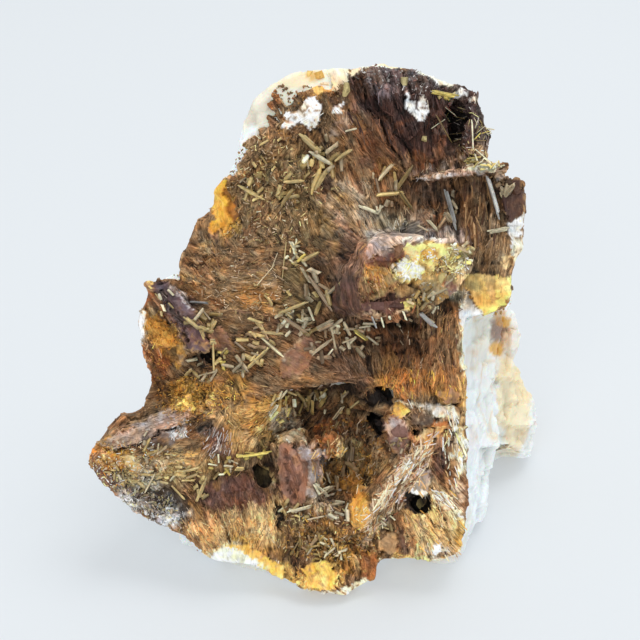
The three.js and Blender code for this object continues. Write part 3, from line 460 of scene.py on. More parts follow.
    "vug_olive": ([270, 410, 292, 408, 304, 430, 306, 446, 290, 442, 272, 436], "cream", 0.8, 0.3, 0.8),
    "fin_crown": ([276, 428, 303, 429, 305, 444, 290, 441, 276, 437], "olive", 0.8, 0.3, 0.8),
    "vug_pillar": ([368, 428, 378, 430, 388, 452, 378, 462, 370, 446], "tan", 0.7, 0.6, 0.3),
    "vug_gold": ([336, 456, 368, 460, 374, 482, 358, 494, 336, 484], "ochre", 0.6, 0.2, 0.5),
    "wedge": ([368, 408, 389, 405, 391, 413, 374, 411], "tan", 0.9, 0.3, 0.2),
    "box_gold": ([390, 406, 402, 402, 409, 410, 404, 418, 394, 416], "gold", 0.8, 0.4, 0.1),
    "box_roof": ([390, 399, 410, 402, 430, 402, 452, 405, 458, 419, 446, 420, 430, 413, 416, 408, 402, 404], "shell",
        0.75, 0.7, 0.2),
    "box_roof_flake": ([412, 403, 440, 405, 452, 414, 440, 414, 424, 409], "lilac", 0.7, 0.9, 0.2),
    "box_crystal": ([383, 423, 394, 416, 406, 420, 410, 436, 408, 444, 400, 454, 392, 448, 386, 436], "plum", 0.9,
        0.8, 0.1),
    "box_gleam": ([385, 424, 393, 418, 398, 424, 394, 436, 388, 434], "lilac", 0.9, 0.2, 0.1),
    "box_dark": ([410, 416, 422, 413, 436, 418, 432, 428, 420, 427, 411, 424], "dark", 0.8, 0.3, 0.1),
    "box_orange": ([424, 429, 446, 427, 442, 438, 430, 450, 422, 446, 416, 438], "wheat", 0.8, 0.3, 0.1),
    "box_ochre": ([420, 438, 436, 438, 432, 448, 424, 450], "orange", 0.7, 0.1, 0.1),
    "box_bar": ([432, 419, 451, 424, 451, 429, 434, 426], "rust", 0.9, 0.7, 0.1),
    "pale_bar": ([450, 424, 470, 426, 470, 429, 450, 428], "shell", 0.9, 0.6, 0.2),
    "column_block": ([436, 393, 450, 384, 461, 392, 459, 403, 446, 403], "rose", 0.8, 0.5, 0.2),
    "hair_block": ([434, 438, 446, 432, 449, 446, 446, 472, 438, 478, 431, 460], "plum", 0.8, 0.1, 1),
    "ridge": ([414, 444, 430, 448, 434, 460, 424, 468, 410, 480, 398, 492, 390, 504, 378, 528, 368, 548, 360, 552,
        366, 528, 370, 508, 380, 488, 398, 466], "beige", 0.8, 0.5, 1),
    "ridge_crest": ([416, 450, 426, 454, 410, 470, 392, 488, 380, 510, 370, 530, 368, 526, 380, 496, 400, 470],
        "cream", 0.6, 0.3, 1),
    "oval": ([350, 508, 356, 498, 365, 493, 370, 504, 370, 516, 364, 528, 356, 528, 350, 520], "ochre", 1, 0.7, 0.2),
    "grey_plate": ([416, 470, 430, 468, 431, 484, 427, 496, 414, 492, 409, 484, 413, 476], "dove", 0.9, 0.5, 0.1),
    "grey_plate_edge": ([409, 486, 416, 492, 428, 492, 428, 498, 416, 498, 408, 491], "white", 0.9, 0.6, 0.1),
    "low_fan": ([398, 512, 428, 500, 448, 518, 462, 530, 464, 548, 448, 554, 430, 560, 410, 556, 402, 532], "wheat",
        0.8, 0.1, 1),
    "streak_a": ([431, 490, 440, 497, 452, 506, 464, 516, 462, 520, 448, 511, 436, 502, 430, 496], "shell", 0.9, 0.4,
        0.7),
    "streak_b": ([433, 489, 445, 492, 456, 497, 455, 500, 442, 497], "shell", 0.8, 0.3, 0.7),
    "foot_block": ([378, 540, 388, 530, 406, 534, 408, 546, 390, 552, 380, 552], "tan", 0.9, 0.6, 0.1),
    "foot_block_shade": ([396, 533, 406, 535, 408, 546, 398, 549], "umber", 0.7, -0.2, 0.1),
    "bottom_yellow": ([302, 570, 312, 560, 328, 562, 337, 576, 330, 590, 308, 588], "gold", 1, 0.5, 0.1),
    "bottom_pale": ([306, 578, 318, 572, 330, 578, 326, 588, 310, 586], "straw", 0.8, 0.1, 0.1),
    "bottom_red": ([358, 550, 378, 558, 379, 572, 368, 582, 360, 572], "rust", 0.8, 0.2, 0.5),
    "white_spot": ([432, 546, 440, 543, 443, 551, 436, 555, 431, 552], "white", 1, 0.2, 0),
    "corner_gold": ([455, 516, 464, 520, 464, 545, 458, 548, 454, 530], "gold", 0.7, 0, 0.8),
    # Painted shadows: the holes below are painted black where shade falls in them.
    "gap_a_shadow": ([361, 398, 368, 392, 378, 387, 392, 390, 393, 404, 378, 406, 368, 409], "black", 1, -0.6, 0.05),
    "gap_b_shadow": ([368, 412, 384, 416, 385, 430, 378, 440, 374, 428, 368, 421], "black", 1, -0.6, 0.05),
    "gap_c_shadow": ([406, 491, 422, 497, 431, 493, 431, 513, 418, 514, 404, 508], "black", 1, -0.4, 0.05),
    "gap_d_shadow": ([276, 502, 283, 504, 286, 520, 281, 532, 276, 520], "black", 0.8, -1.5, 0.4),
    "hole_floor": ([256, 468, 266, 464, 273, 472, 274, 481, 266, 487, 256, 484, 253, 476], "khaki", 0.8, 0, 0.3),
    "crest_rim": ([414, 64, 436, 68, 456, 79, 452, 89, 436, 81, 416, 72], "cream", 0.9, 0, 0),
    "crest_rim_left": ([348, 72, 360, 60, 378, 56, 398, 58, 396, 65, 376, 64, 362, 69, 350, 78], "cream", 0.9, 0, 0),
    "bottom_rim": ([284, 580, 300, 587, 320, 591, 345, 588, 366, 578, 372, 586, 354, 602, 320, 606, 288, 598],
        "shell", 1, 0, 0.1),
    "bottom_rim_right": ([380, 558, 400, 560, 420, 562, 452, 557, 462, 546, 466, 552, 454, 566, 420, 572, 382, 572],
        "shell", 1, 0, 0.1),
    "right_edge_cream": ([511, 248, 517, 238, 524, 236, 522, 256, 514, 264], "cream", 0.8, 0, 0.1),
    # Painted light: the horn's root is painted cream against the shade of its hollow.
    "root_light": ([364, 224, 384, 216, 410, 217, 424, 226, 420, 232, 400, 232, 376, 233, 366, 240], "cream", 0.5, 0,
        1),
    "patch_left": ([452, 272, 464, 268, 466, 290, 458, 294], "wheat", 0.8, 0, 0.5),
    "wall_left": ([463, 316, 470, 324, 471, 350, 464, 352], "snow", 0.9, -0.2, 0),
    "sponge_low": ([164, 348, 176, 346, 180, 360, 172, 366, 164, 358], "dark", 0.6, -0.5, 0.4),
    "vug_fan": ([336, 440, 352, 436, 366, 446, 364, 468, 350, 474, 338, 464], "khaki", 0.6, 0.4, 0.8),
    # Painted shadows: two pits in the vug are painted black.
    "vug_shadow_a": ([338, 468, 346, 466, 349, 476, 340, 479], "black", 0.8, -0.4, 0.2),
    "vug_shadow_b": ([362, 474, 372, 475, 371, 486, 362, 485], "black", 0.8, -0.4, 0.2),
    "dome_gold": ([321, 80, 330, 77, 334, 86, 329, 92, 321, 91], "ochre", 0.6, 0.1, 0.1),
    "wall_gleam": ([458, 291, 465, 289, 467, 304, 460, 307], "cream", 0.8, 0.1, 0.5),
    "right_gleam": ([500, 256, 513, 254, 512, 268, 502, 271], "wheat", 0.7, 0.1, 0.6),
    # Painted shadow: a small hollow beside the crystals is painted dark.
    "hollow_mid_shadow": ([320, 180, 332, 178, 336, 190, 328, 197, 320, 192], "dark", 0.7, -0.3, 0.7),
}


def within(spots, outline):
    """Which spots lie inside an outline."""
    x, y = spots.T
    inner = np.zeros(len(spots), bool)
    for (ax, ay), (bx, by) in zip(outline, np.roll(outline, -1, axis=0)):
        if ay != by:
            inner ^= ((ay > y) != (by > y)) & (x < ax + (bx - ax) * (y - ay) / (by - ay))
    return inner


def faces_at(co):
    """For each point on the crust, a list of pairs: a face of the table and which points lie on it."""
    spots = pixels(co)
    for cell, reach, seed in ((6, 2.0, 130), (2.6, 1.2, 132)):
        spots = spots + drift(spots, reach, cell, seed)
    laid = []
    for outline, *rest in FACES.values():
        outline = np.array(outline, float).reshape(-1, 2)
        near = np.flatnonzero(np.all((spots > outline.min(0)) & (spots < outline.max(0)), axis=1))
        near = near[within(spots[near], outline)]
        if len(rest) > 4:
            near = near[co[near, 2] > rest[4]]
        laid.append((rest, near))
    return laid


def laid_over(tint, name, share):
    """A tint with a colour of the palette over it, by a share for each point."""
    return tint * (1 - share[:, None]) + PALETTE[name] * share[:, None]


CLEAN_FACE = 0.06  # faces that are more fibrous than this are worn as well


def crust_colour(co):
    """The crust's colour at each point, before the bundles' shades: its own colour, with the painted shadows and
    painted light of some patches and faces.
    """
    spots = pixels(co)
    warped = spots + drift(spots, 6, 16, 70) + drift(spots, 5, 6, 72)
    tint = np.tile(PALETTE["brown"], (len(spots), 1))
    for patch in PATCHES:
        tint = laid_over(tint, patch[5], patch[6] * inside(warped, patch, 0.45))
    worn = np.clip(1 - 2 * np.clip(noise(spots, 2.4, 134) - 0.2, 0, 1), 0, 1)
    for (name, strength, _, fibrous, *_), near in faces_at(co):
        share = strength * (worn[near] if fibrous > CLEAN_FACE else 1) * np.ones(len(near))
        tint[near] = laid_over(tint[near], name, share)
    warmth = 0.26 * noise(spots, 9, 75) + 0.18 * noise(spots, 3.5, 76)
    return tint * (1 + warmth[:, None] * (0.5, -0.1, -0.8))


# ---------------------------------------------------------------- meshes

def new_object(name, mesh):
    """A mesh as an object of the scene."""
    piece = bpy.data.objects.new(name, mesh)
    bpy.context.scene.collection.objects.link(piece)
    return piece


def places(mesh):
    """Where a mesh's vertices are."""
    co = np.empty(len(mesh.vertices) * 3)
    mesh.vertices.foreach_get("co", co)
    return co.reshape(-1, 3)


def normals(mesh):
    """Which way each vertex of a mesh faces."""
    n = np.empty(len(mesh.vertices) * 3)
    mesh.vertex_normals.foreach_get("vector", n)
    return n.reshape(-1, 3)


def put(mesh, co):
    """Moves a mesh's vertices to new places."""
    mesh.vertices.foreach_set("co", co.ravel())
    mesh.update()


def settle_modifiers(piece):
    """Turns what a piece's modifiers make into its own mesh."""
    bpy.context.view_layer.update()
    mesh = bpy.data.meshes.new_from_object(piece.evaluated_get(bpy.context.evaluated_depsgraph_get()))
    piece.modifiers.clear()
    piece.vertex_groups.clear()
    piece.data = mesh


def even_skin(node, name, cell, extra):
    """A copy of a CAD node in the face frame, joined to an extra mesh, with an even mesh of that cell size."""
    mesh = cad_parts[node].data.copy()
    mesh.transform(FACE_TO_WORLD.inverted())
    bm = bmesh.new()
    bm.from_mesh(mesh)
    bmesh.ops.remove_doubles(bm, verts=bm.verts, dist=0.001)
    bm.from_mesh(extra)
    bm.to_mesh(mesh)
    bm.free()
    piece = new_object(name, mesh)
    remesh = piece.modifiers.new("skin", "REMESH")
    remesh.mode = "VOXEL"
    remesh.voxel_size = cell
    settle_modifiers(piece)
    piece.data.materials.clear()
    return piece


def thin_hidden(piece, facing, kept):
    """Leaves only a share of the faces where a piece's skin looks away from the face."""
    hidden = piece.vertex_groups.new(name="hidden")
    turned = np.flatnonzero(normals(piece.data)[:, 2] < facing)
    hidden.add(turned.tolist(), 1, "REPLACE")
    thin = piece.modifiers.new("thin", "DECIMATE")
    thin.vertex_group = "hidden"
    thin.ratio = 1 - (1 - kept) * len(turned) / len(piece.data.vertices)
    settle_modifiers(piece)


def edge_ends(mesh):
    """The vertex numbers of all edges' first ends, and of their second ends."""
    ends = np.empty(len(mesh.edges) * 2, dtype=np.int64)
    mesh.edges.foreach_get("vertices", ends)
    return ends.reshape(-1, 2).T


def rounded(mesh, co, times):
    """Places of the vertices once each has moved towards the middle of its neighbours a few times."""
    a, b = edge_ends(mesh)
    count = np.bincount(a, minlength=len(co)) + np.bincount(b, minlength=len(co))
    for _ in range(times):
        middle = np.stack(
            [np.bincount(a, co[b, k], len(co)) + np.bincount(b, co[a, k], len(co)) for k in range(3)], 1
        ) / count[:, None]
        co = co + 0.6 * (middle - co)
    return co


def hollowness(mesh, co, outward, times):
    """How far each vertex lies below its surroundings, in millimetres."""
    return np.einsum("ij,ij->i", rounded(mesh, co, times) - co, outward)


def paint(mesh, tint, strength=1.0):
    """Stores a colour for each vertex, and beside it how fibrous the surface is there."""
    layer = mesh.color_attributes.new("Tint", "FLOAT_COLOR", "POINT")
    strengths = np.broadcast_to(strength, len(tint))
    layer.data.foreach_set("color", np.column_stack([np.clip(tint, 0, 1), strengths]).ravel())


def finish_piece(piece, slot, *nodes):
    """Puts a piece in place in the frame, hangs it from the root body and hides the CAD parts that it stands for."""
    piece.data.transform(FACE_TO_WORLD)
    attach(piece, "root")
    if nodes:
        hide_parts(*nodes)


def triangles(bm):
    """Corners and triangles of a closed shape, which is then done with.

    A bevel makes its faces in a different order each time, so they are put in order.
    """
    bmesh.ops.recalc_face_normals(bm, faces=bm.faces)
    bmesh.ops.triangulate(bm, faces=bm.faces)
    bm.verts.index_update()
    corners = np.array([v.co[:] for v in bm.verts])
    faces = np.array([[v.index for v in f.verts] for f in bm.faces])
    bm.free()
    return corners, faces[np.lexsort(faces.T)]


def painted_mesh(name, corners, faces, tints):
    """A piece from corners, the corner numbers of its triangles and a colour for each corner."""
    mesh = bpy.data.meshes.new(name)
    mesh.vertices.add(len(corners))
    mesh.vertices.foreach_set("co", corners.ravel())
    mesh.loops.add(faces.size)
    mesh.loops.foreach_set("vertex_index", faces.ravel())
    mesh.polygons.add(len(faces))
    mesh.polygons.foreach_set("loop_start", np.arange(0, faces.size, 3))
    mesh.polygons.foreach_set("loop_total", np.full(len(faces), 3))
    mesh.update(calc_edges=True)
    mesh.shade_flat()
    paint(mesh, tints, 0.5)
    return new_object(name, mesh)


class Stamp:
    """A small shape, one unit long along z and one unit in radius, that is repeated many times in one mesh."""

    def __init__(self, bm, shade):
        """The shade is a function of a corner's place that says how light the corner is painted; on crystals, laths
        and blocks this is painted light and shade.
        """
        self.corners, self.faces = triangles(bm)
        self.shades = np.array([shade(Vector(corner)) for corner in self.corners])

    def repeated(self, name, spots, axes, tints):
        """A piece with the shape once for each spot, stretched along the rows of its axes."""
        corners = np.einsum("vk,nkj->nvj", self.corners, axes) + spots[:, None]
        steps = len(self.corners) * np.arange(len(spots))
        faces = (self.faces[None] + steps[:, None, None]).reshape(-1, 3)
        shaded = (tints[:, None] * self.shades[None, :, None]).reshape(-1, 3)
        return painted_mesh(name, corners.reshape(-1, 3), faces, shaded)


def axes_along(direction, out, length, width, height):
    """Rows that stretch a stamp: width across, height out of the surface and length along."""
    direction = direction / np.linalg.norm(direction, axis=1)[:, None]
    side = np.cross(out, direction)
    side /= np.linalg.norm(side, axis=1)[:, None]
    up = np.cross(direction, side)
    return np.stack([side * width[:, None], up * height[:, None], direction * length[:, None]], 1)


def sliver_stamp():
    """A three-sided splinter that thins towards one end."""
    bm = bmesh.new()
    bmesh.ops.create_cone(bm, cap_ends=True, segments=3, radius1=1, radius2=0.5, depth=1)
    return Stamp(bm, lambda co: 1.05 + 0.7 * co.z)


def prism_stamp(waist, end, dip, seed):
    """A slightly crooked six-sided crystal with a waist, chamfered ends and a dip in each end."""
    random = np.random.default_rng(seed)
    bm = bmesh.new()
    bmesh.ops.create_cone(bm, cap_ends=True, segments=6, radius1=1, radius2=1, depth=1)
    sides = [e for e in bm.edges if abs(e.verts[0].co.z - e.verts[1].co.z) > 0.5]
    middle = bmesh.ops.bisect_edges(bm, edges=sides, cuts=1)["geom_split"]
    bmesh.ops.connect_verts(bm, verts=[v for v in middle if isinstance(v, bmesh.types.BMVert)])
    for v in bm.verts:
        scale = waist if abs(v.co.z) < 0.1 else end
        v.co.x *= scale
        v.co.y *= scale
    ends = [f for f in bm.faces if abs(f.normal.z) > 0.9]
    bmesh.ops.inset_individual(bm, faces=ends, thickness=0.12, depth=0.03)
    bmesh.ops.inset_individual(bm, faces=ends, thickness=0.3, depth=-dip)
    lean = random.normal(0, 0.05, 2)
    for v in bm.verts:
        v.co.x *= 1 + random.normal(0, 0.07)
        v.co.y *= 1 + random.normal(0, 0.07)
        v.co.z += (lean[0] * v.co.x + lean[1] * v.co.y) * 2 * abs(v.co.z)
    # Painted light and shade: lighter on the side laid upward and on one flank, darker underneath, with lighter ends.
    return Stamp(bm, lambda co: 0.76 + 0.38 * co.y + 0.16 * co.x + 0.8 * max(0, abs(co.z) - 0.3))


def shard_stamp(seed, cuts, shade):
    """A broken stone with flat faces: a block with its corners cut away."""
    random = np.random.default_rng(seed)
    bm = bmesh.new()
    bmesh.ops.create_cube(bm, size=1.5)
    for _ in range(cuts):
        away = Vector(random.normal(size=3)).normalized()
        everything = bm.verts[:] + bm.edges[:] + bm.faces[:]
        spot = away * random.uniform(0.5, 0.8)
        cut = bmesh.ops.bisect_plane(bm, geom=everything, plane_co=spot, plane_no=away, clear_outer=True)["geom_cut"]
        bmesh.ops.holes_fill(bm, edges=[e for e in cut if isinstance(e, bmesh.types.BMEdge)])
    bmesh.ops.remove_doubles(bm, verts=bm.verts, dist=0.03)
    return Stamp(bm, shade)


def depth_below(co):
    """How far points lie behind the middle height of the face around them, in millimetres."""
    cell = 4  # pixels
    cells = VIEW // cell
    column, row = np.clip(pixels(co) // cell, 0, cells - 1).astype(int).T
    number = row * cells + column
    front = co[:, 2] > BACK
    total = np.bincount(number[front], co[front, 2], cells * cells).reshape(cells, cells)
    count = np.bincount(number[front], minlength=cells * cells).reshape(cells, cells).astype(float)
    for _ in range(60):  # spreads both over the cells around
        for axis in (0, 1):
            total = (2 * total + np.roll(total, 1, axis) + np.roll(total, -1, axis)) / 4
            count = (2 * count + np.roll(count, 1, axis) + np.roll(count, -1, axis)) / 4
    around = total / np.maximum(count, 1e-6)
    return np.clip(around[row, column] - co[:, 2], -8, 12)


# ---------------------------------------------------------------- crust and quartz

CRUST_CELL = 0.403  # millimetres from vertex to vertex on the crust
QUARTZ_CELL = 0.7  # the same on the quartz
HIDDEN_FACING = -0.35  # the crust is plain where its outward direction points backwards by more than this
HIDDEN_KEPT = 0.06  # the share of the faces that is left there
BUNDLE_COUNT = 2200
SHELL_HALF = 0.9  # half the thickness of the crust's torn edge, in millimetres

# Dents and swells that are finer than the solid's: [pixel, pixel, half length, half width, turn, lift, softness]
FINE_FORMS = [
    (378, 397, 15, 9, 5, -3.2, 0.4), (376, 424, 10, 12, 0, -2.6, 0.5), (264, 474, 12, 15, 0, -1.6, 0.5),
    (418, 502, 10, 8, 0, -1.6, 0.4), (322, 395, 50, 12, 6, -3, 0.6), (456, 120, 12, 24, 0, -4, 0.5),
    (450, 304, 22, 10, 42, -1.2, 0.6), (396, 327, 34, 7, 0, -2.5, 0.6), (385, 58, 44, 12, -4, -2, 0.5),
    (446, 74, 20, 8, -30, -1.5, 0.5), (404, 567, 28, 7, 0, -1.7, 0.6), (492, 108, 8, 24, 0, -1.8, 0.6),
    (522, 266, 7, 18, 0, -1.8, 0.6), (155, 271, 14, 8, 0, -2, 0.6), (386, 578, 8, 14, 30, -1.4, 0.6),
    (340, 604, 40, 7, 0, -1, 0.6),
]


# Deep folds: [pixel, pixel, half length, half width, turn, run of the folds, pixels from fold to fold, depth in mm]
FOLDS = [
    (400, 125, 66, 56, -10, 110, 9, 1.5), (470, 110, 22, 40, 0, 95, 10, 1), (465, 218, 44, 38, 0, 88, 11, 1.7),
    (432, 338, 36, 36, 0, 91, 8, 0.9), (415, 384, 52, 14, 4, 88, 6, 0.5), (435, 518, 36, 40, 20, 130, 10, 1),
    (452, 455, 12, 44, 0, 96, 8, 0.8), (395, 490, 64, 12, 56, 54, 6, 1.1), (345, 275, 24, 44, 0, 118, 10, 0.9),
    (235, 520, 44, 30, 0, 100, 12, 0.8), (165, 350, 20, 34, 20, 118, 9, 0.8), (340, 215, 60, 30, -45, 132, 8, 0.5),
    (330, 460, 40, 40, 0, 80, 12, 1.2), (300, 555, 60, 24, 0, 95, 12, 1), (240, 370, 60, 30, -20, 155, 10, 0.5),
]

# Lumpy places: [pixel, pixel, half length, half width, turn, roughness in mm]
ROUGH = [
    (416, 274, 52, 34, 0, 0.45), (190, 398, 40, 26, 0, 0.5), (160, 335, 20, 40, 30, 0.5),
    (120, 462, 40, 24, 20, 0.5), (155, 500, 50, 24, -35, 0.6), (260, 562, 60, 14, -14, 0.25),
    (320, 575, 30, 18, 10, 0.4), (330, 540, 60, 30, 0, 0.6), (345, 450, 50, 50, 0, 0.6), (420, 428, 40, 26, 0, 0.6),
    (400, 80, 70, 18, -8, 0.4), (300, 95, 50, 20, 0, 0.4), (478, 130, 18, 50, 0, 0.5), (290, 190, 80, 60, 0, 0.35),
    (488, 298, 28, 24, 0, 0.2), (295, 300, 30, 40, 0, 0.4),
]

# Where the torn upper edge of the crust climbs over the quartz, in pixels
BROW = [
    (204, 196), (232, 170), (240, 150), (248, 138), (256, 134), (263, 129), (268, 122), (270, 90), (274, 90),
    (279, 97), (287, 102), (293, 97), (300, 88), (320, 84), (334, 87), (343, 85), (347, 73), (360, 60),
]


# Shifts of the outline: [pixel, pixel, half length, half width, turn, mm right and up, deepest and nearest in mm]
NUDGES = [
    (494, 97, 24, 26, 0, -2.4, -0.4), (490, 120, 10, 12, 0, -0.8, 0), (518, 276, 14, 18, 0, -1.2, 0),
    (514, 248, 14, 12, 0, 0.9, 0), (332, 598, 34, 16, 0, 2, 0.3), (155, 278, 22, 16, 0, 0.4, -0.9),
    (136, 408, 16, 16, 0, 0.9, -0.5), (184, 540, 40, 14, -35, 0.5, 1.2), (508, 476, 46, 34, 0, -0.6, 4.2, -70, -22),
    (548, 414, 20, 24, 0, -2, 0, -70, -20), (386, 570, 16, 16, 0, -0.8, 1), (414, 568, 36, 16, 0, 0, 1.1),
]


def nudged(co):
    """Points of the face frame once the outline has been shifted and nothing is left below the floor."""
    spots = pixels(co)
    for patch in NUDGES:
        deepest, nearest = patch[7:] or (BACK, 100)
        share = inside(spots, patch) * (co[:, 2] > deepest) * (co[:, 2] < nearest)
        co = co + share[:, None] * (*patch[5:7], 0)
    up = np.array(FACE_TO_WORLD)[2] / MM
    co[:, 1] += np.maximum(-(co @ up[:3] + up[3]), 0) / up[1]
    return co


def folded(spots):
    """The height of the deep folds, in millimetres."""
    height = np.zeros(len(spots))
    for number, (x, y, half_length, half_width, turn, run, spacing, depth) in enumerate(FOLDS):
        a = math.radians(run)
        u = spots[:, 0] * math.cos(a) - spots[:, 1] * math.sin(a)
        v = spots[:, 0] * math.sin(a) + spots[:, 1] * math.cos(a)
        v += 0.5 * spacing * noise(spots, 3 * spacing, 90 + number)
        crease = np.abs(noise(np.stack([u / 6, v], 1), spacing, 120 + number))
        reach = inside(spots, (x, y, half_length, half_width, turn), 0.5)
        height += depth * reach * (np.minimum(crease * 2.6, 1) - 0.6)
    return height


def torn_edge(quartz):
    """The thin part of the crust that climbs over the quartz, as a closed shell."""
    mesh = quartz.data
    co, outward = places(mesh), normals(mesh)
    spots = pixels(co)
    torn = 5 * noise(spots, 5, 51) + 5 * noise(spots, 12, 52)
    columns, rows = np.transpose(BROW)
    covered = (spots[:, 1] + torn > np.interp(spots[:, 0] + torn, columns, rows)) & (outward[:, 2] > -0.1)
    covered &= (spots[:, 0] < columns[-1]) & (spots[:, 0] > columns[0] - 10) & (spots[:, 1] < 260) & (co[:, 2] > -15)
    bm = bmesh.new()
    bm.from_mesh(mesh)
    bmesh.ops.delete(bm, geom=[v for v, kept in zip(bm.verts, covered) if not kept], context="VERTS")
    bmesh.ops.translate(bm, verts=bm.verts, vec=(0, 0, SHELL_HALF))
    back = bmesh.ops.extrude_face_region(bm, geom=bm.faces, use_keep_orig=True)["geom"]
    bmesh.ops.translate(bm, verts=[v for v in back if isinstance(v, bmesh.types.BMVert)], vec=(0, 0, -2 * SHELL_HALF))
    bmesh.ops.recalc_face_normals(bm, faces=bm.faces)
    shell = bpy.data.meshes.new("torn_edge")
    bm.to_mesh(shell)
    bm.free()
    return shell


def crust_relief(co, spots, bundles, home, smooth):
    """How far the bundles, folds, faces and lumps lift each point of the crust, in millimetres."""
    grain = bundles.grain(co, home)
    slope = np.clip(grain[:, 0] / bundles.length[home], -1, 1) * bundles.tilt[home]
    ribs = noise(grain * (0.22, 0.8, 1), 1.0, 15)
    ridges = noise(grain * (0.35, 1.9, 1), 1.0, 16)
    lift = bundles.step[home] * (0.6 * bundles.high[home] + 0.8 * slope + 0.8 * ribs + 0.5 * ridges)
    plain = 1 - 0.7 * smooth
    lift *= 1 - 0.8 * smooth
    lift += (0.5 * billows(co, 7, 10) + 0.35 * chips(co, 3, 40)) * plain
    lift += folded(spots) * (1 - smooth)
    steps = np.zeros(len(co))
    for (_, _, rise, *_), near in faces_at(co):
        steps[near] = rise
    lift += steps
    rough = np.max([inside(spots, place, 0.5) * place[5] for place in ROUGH], axis=0) * (1 - 0.8 * smooth)
    lift += rough * (chips(co, 2.6, 43) + 0.5 * chips(co, 1.3, 44))
    for form in FINE_FORMS:
        lift += form[5] * inside(spots, form, form[6])
    return lift


def crust_shade_and_tone(mesh, co, spots, smooth):
    """Painted shade for each point of the crust: hollows, pits and deep places are darker; the rest varies at random.
    """
    outward = normals(mesh)
    fine_hollow, form_hollow = (hollowness(mesh, co, outward, times) for times in (8, 90))
    tone = 1.15 - 1.3 * fine_hollow - 0.27 * form_hollow - 0.036 * depth_below(co) + 0.16 * billows(spots, 26, 77)
    pits = np.clip(noise(co, 0.9, 79) * 2.2 - 0.5, 0, 1) * (1 - smooth)
    tone += 0.2 * noise(spots, 7, 78) + 0.22 * noise(spots, 3, 82) + 0.25 * noise(co, 0.7, 81) - 0.6 * pits
    return np.clip(1.02 + 1.1 * (tone - 1), 0.15, 1.75)


def store_grain(mesh, co, bundles, home):
    """Stores where each corner of the mesh lies along and across the fibres, for the finish to follow."""
    loops = np.empty(len(mesh.loops), dtype=np.int64)
    mesh.loops.foreach_get("vertex_index", loops)
    starts = np.empty(len(mesh.polygons), dtype=np.int64)
    mesh.polygons.foreach_get("loop_start", starts)
    layer = mesh.attributes.new("Grain", "FLOAT_VECTOR", "CORNER")
    owner = np.repeat(home[loops[starts]], np.diff(np.append(starts, len(loops))))
    layer.data.foreach_set("vector", bundles.grain(co[loops], owner).ravel())


def limonite_crust(quartz):
    """The crust, and the bundles of fibres that it is made of."""
    piece = even_skin("limonite_crust", "crust", CRUST_CELL, torn_edge(quartz))
    put(piece.data, rounded(piece.data, places(piece.data), 3))
    thin_hidden(piece, HIDDEN_FACING, HIDDEN_KEPT)
    mesh = piece.data
    co = places(mesh)
    outward = normals(mesh)
    bundles = Bundles(co, outward, BUNDLE_COUNT, seed=11)
    home = bundles.home(co)
    smooth = smoothness(co)
    spots = pixels(co)
    facing = np.clip((outward[:, 2] + 0.55) / 0.4, 0, 1)
    lift = facing * crust_relief(co, spots, bundles, home, smooth)
    co = nudged(co + outward * lift[:, None])
    put(mesh, co)
    # Painted shade in hollows and deep places, with random variation, darkens the crust's colour; each bundle keeps
    # the mean.
    tone = crust_shade_and_tone(mesh, co, spots, smooth)
    members = np.bincount(home, minlength=len(bundles.place))
    bundles.tone = np.bincount(home, tone, len(bundles.place)) / np.maximum(members, 1)
    paint(mesh, bundles.tinted(crust_colour(co), home) * tone[:, None], 1 - 0.9 * smooth)
    store_grain(mesh, co, bundles, home)
    return piece, bundles


# Stains on the quartz: [pixel, pixel, half length, half width, turn, colour, strength, deepest and nearest in mm]
STAINS = [
    (290, 95, 90, 60, 20, "ivory", 0.95), (250, 116, 10, 20, 20, "dove", 0.3), (300, 80, 40, 12, 14, "yellow", 0.35),
    (312, 76, 8, 6, 0, "gold", 0.8), (345, 62, 14, 8, 0, "cream", 0.8), (400, 62, 60, 14, -8, "yellow", 0.6),
    (514, 400, 34, 80, 0, "yellow", 0.5, -60, -26), (516, 345, 10, 30, 0, "snow", 0.5),
    (498, 328, 13, 20, 0, "umber", 0.8, -60, -16), (497, 350, 12, 12, 0, "gold", 0.9, -60, -16),
    (500, 318, 10, 14, 0, "ochre", 0.6, -60, -16), (498, 322, 24, 10, 0, "gold", 0.9, -60, -26),
    (508, 452, 20, 12, 0, "ivory", 0.7, -60, -26), (240, 566, 40, 10, -10, "cream", 0.5),
    (330, 586, 40, 8, 0, "gold", 0.8), (470, 430, 14, 150, 0, "snow", 0.6),
]


def ragged(spots, patch):
    """A turned oval with a torn edge."""
    return np.clip((inside(spots, patch, 1.0) + 0.4 * billows(spots, 9, 57, 4) - 0.26) * 6, 0, 1)


# Swellings that join the rear knobs of the quartz to its body: [radii], [middle], in mm
SWELLINGS = [
    ((9, 11, 10), (33.5, -8, -37)), ((9, 10, 11), (31, -15, -32)), ((9, 9, 11), (28, -3, -30)),
    ((10, 8, 10), (26, -17, -42)), ((7, 9, 8), (36, -10, -44)), ((8, 9, 9), (30, 8, -30)),
]


def swellings():
    """Rounded masses, as one loose mesh."""
    bm = bmesh.new()
    for radii, middle in SWELLINGS:
        ball = bmesh.ops.create_icosphere(bm, subdivisions=3, radius=1)["verts"]
        bmesh.ops.scale(bm, verts=ball, vec=radii)
        bmesh.ops.translate(bm, verts=ball, vec=middle)
    mesh = bpy.data.meshes.new("swellings")
    bm.to_mesh(mesh)
    bm.free()
    return mesh


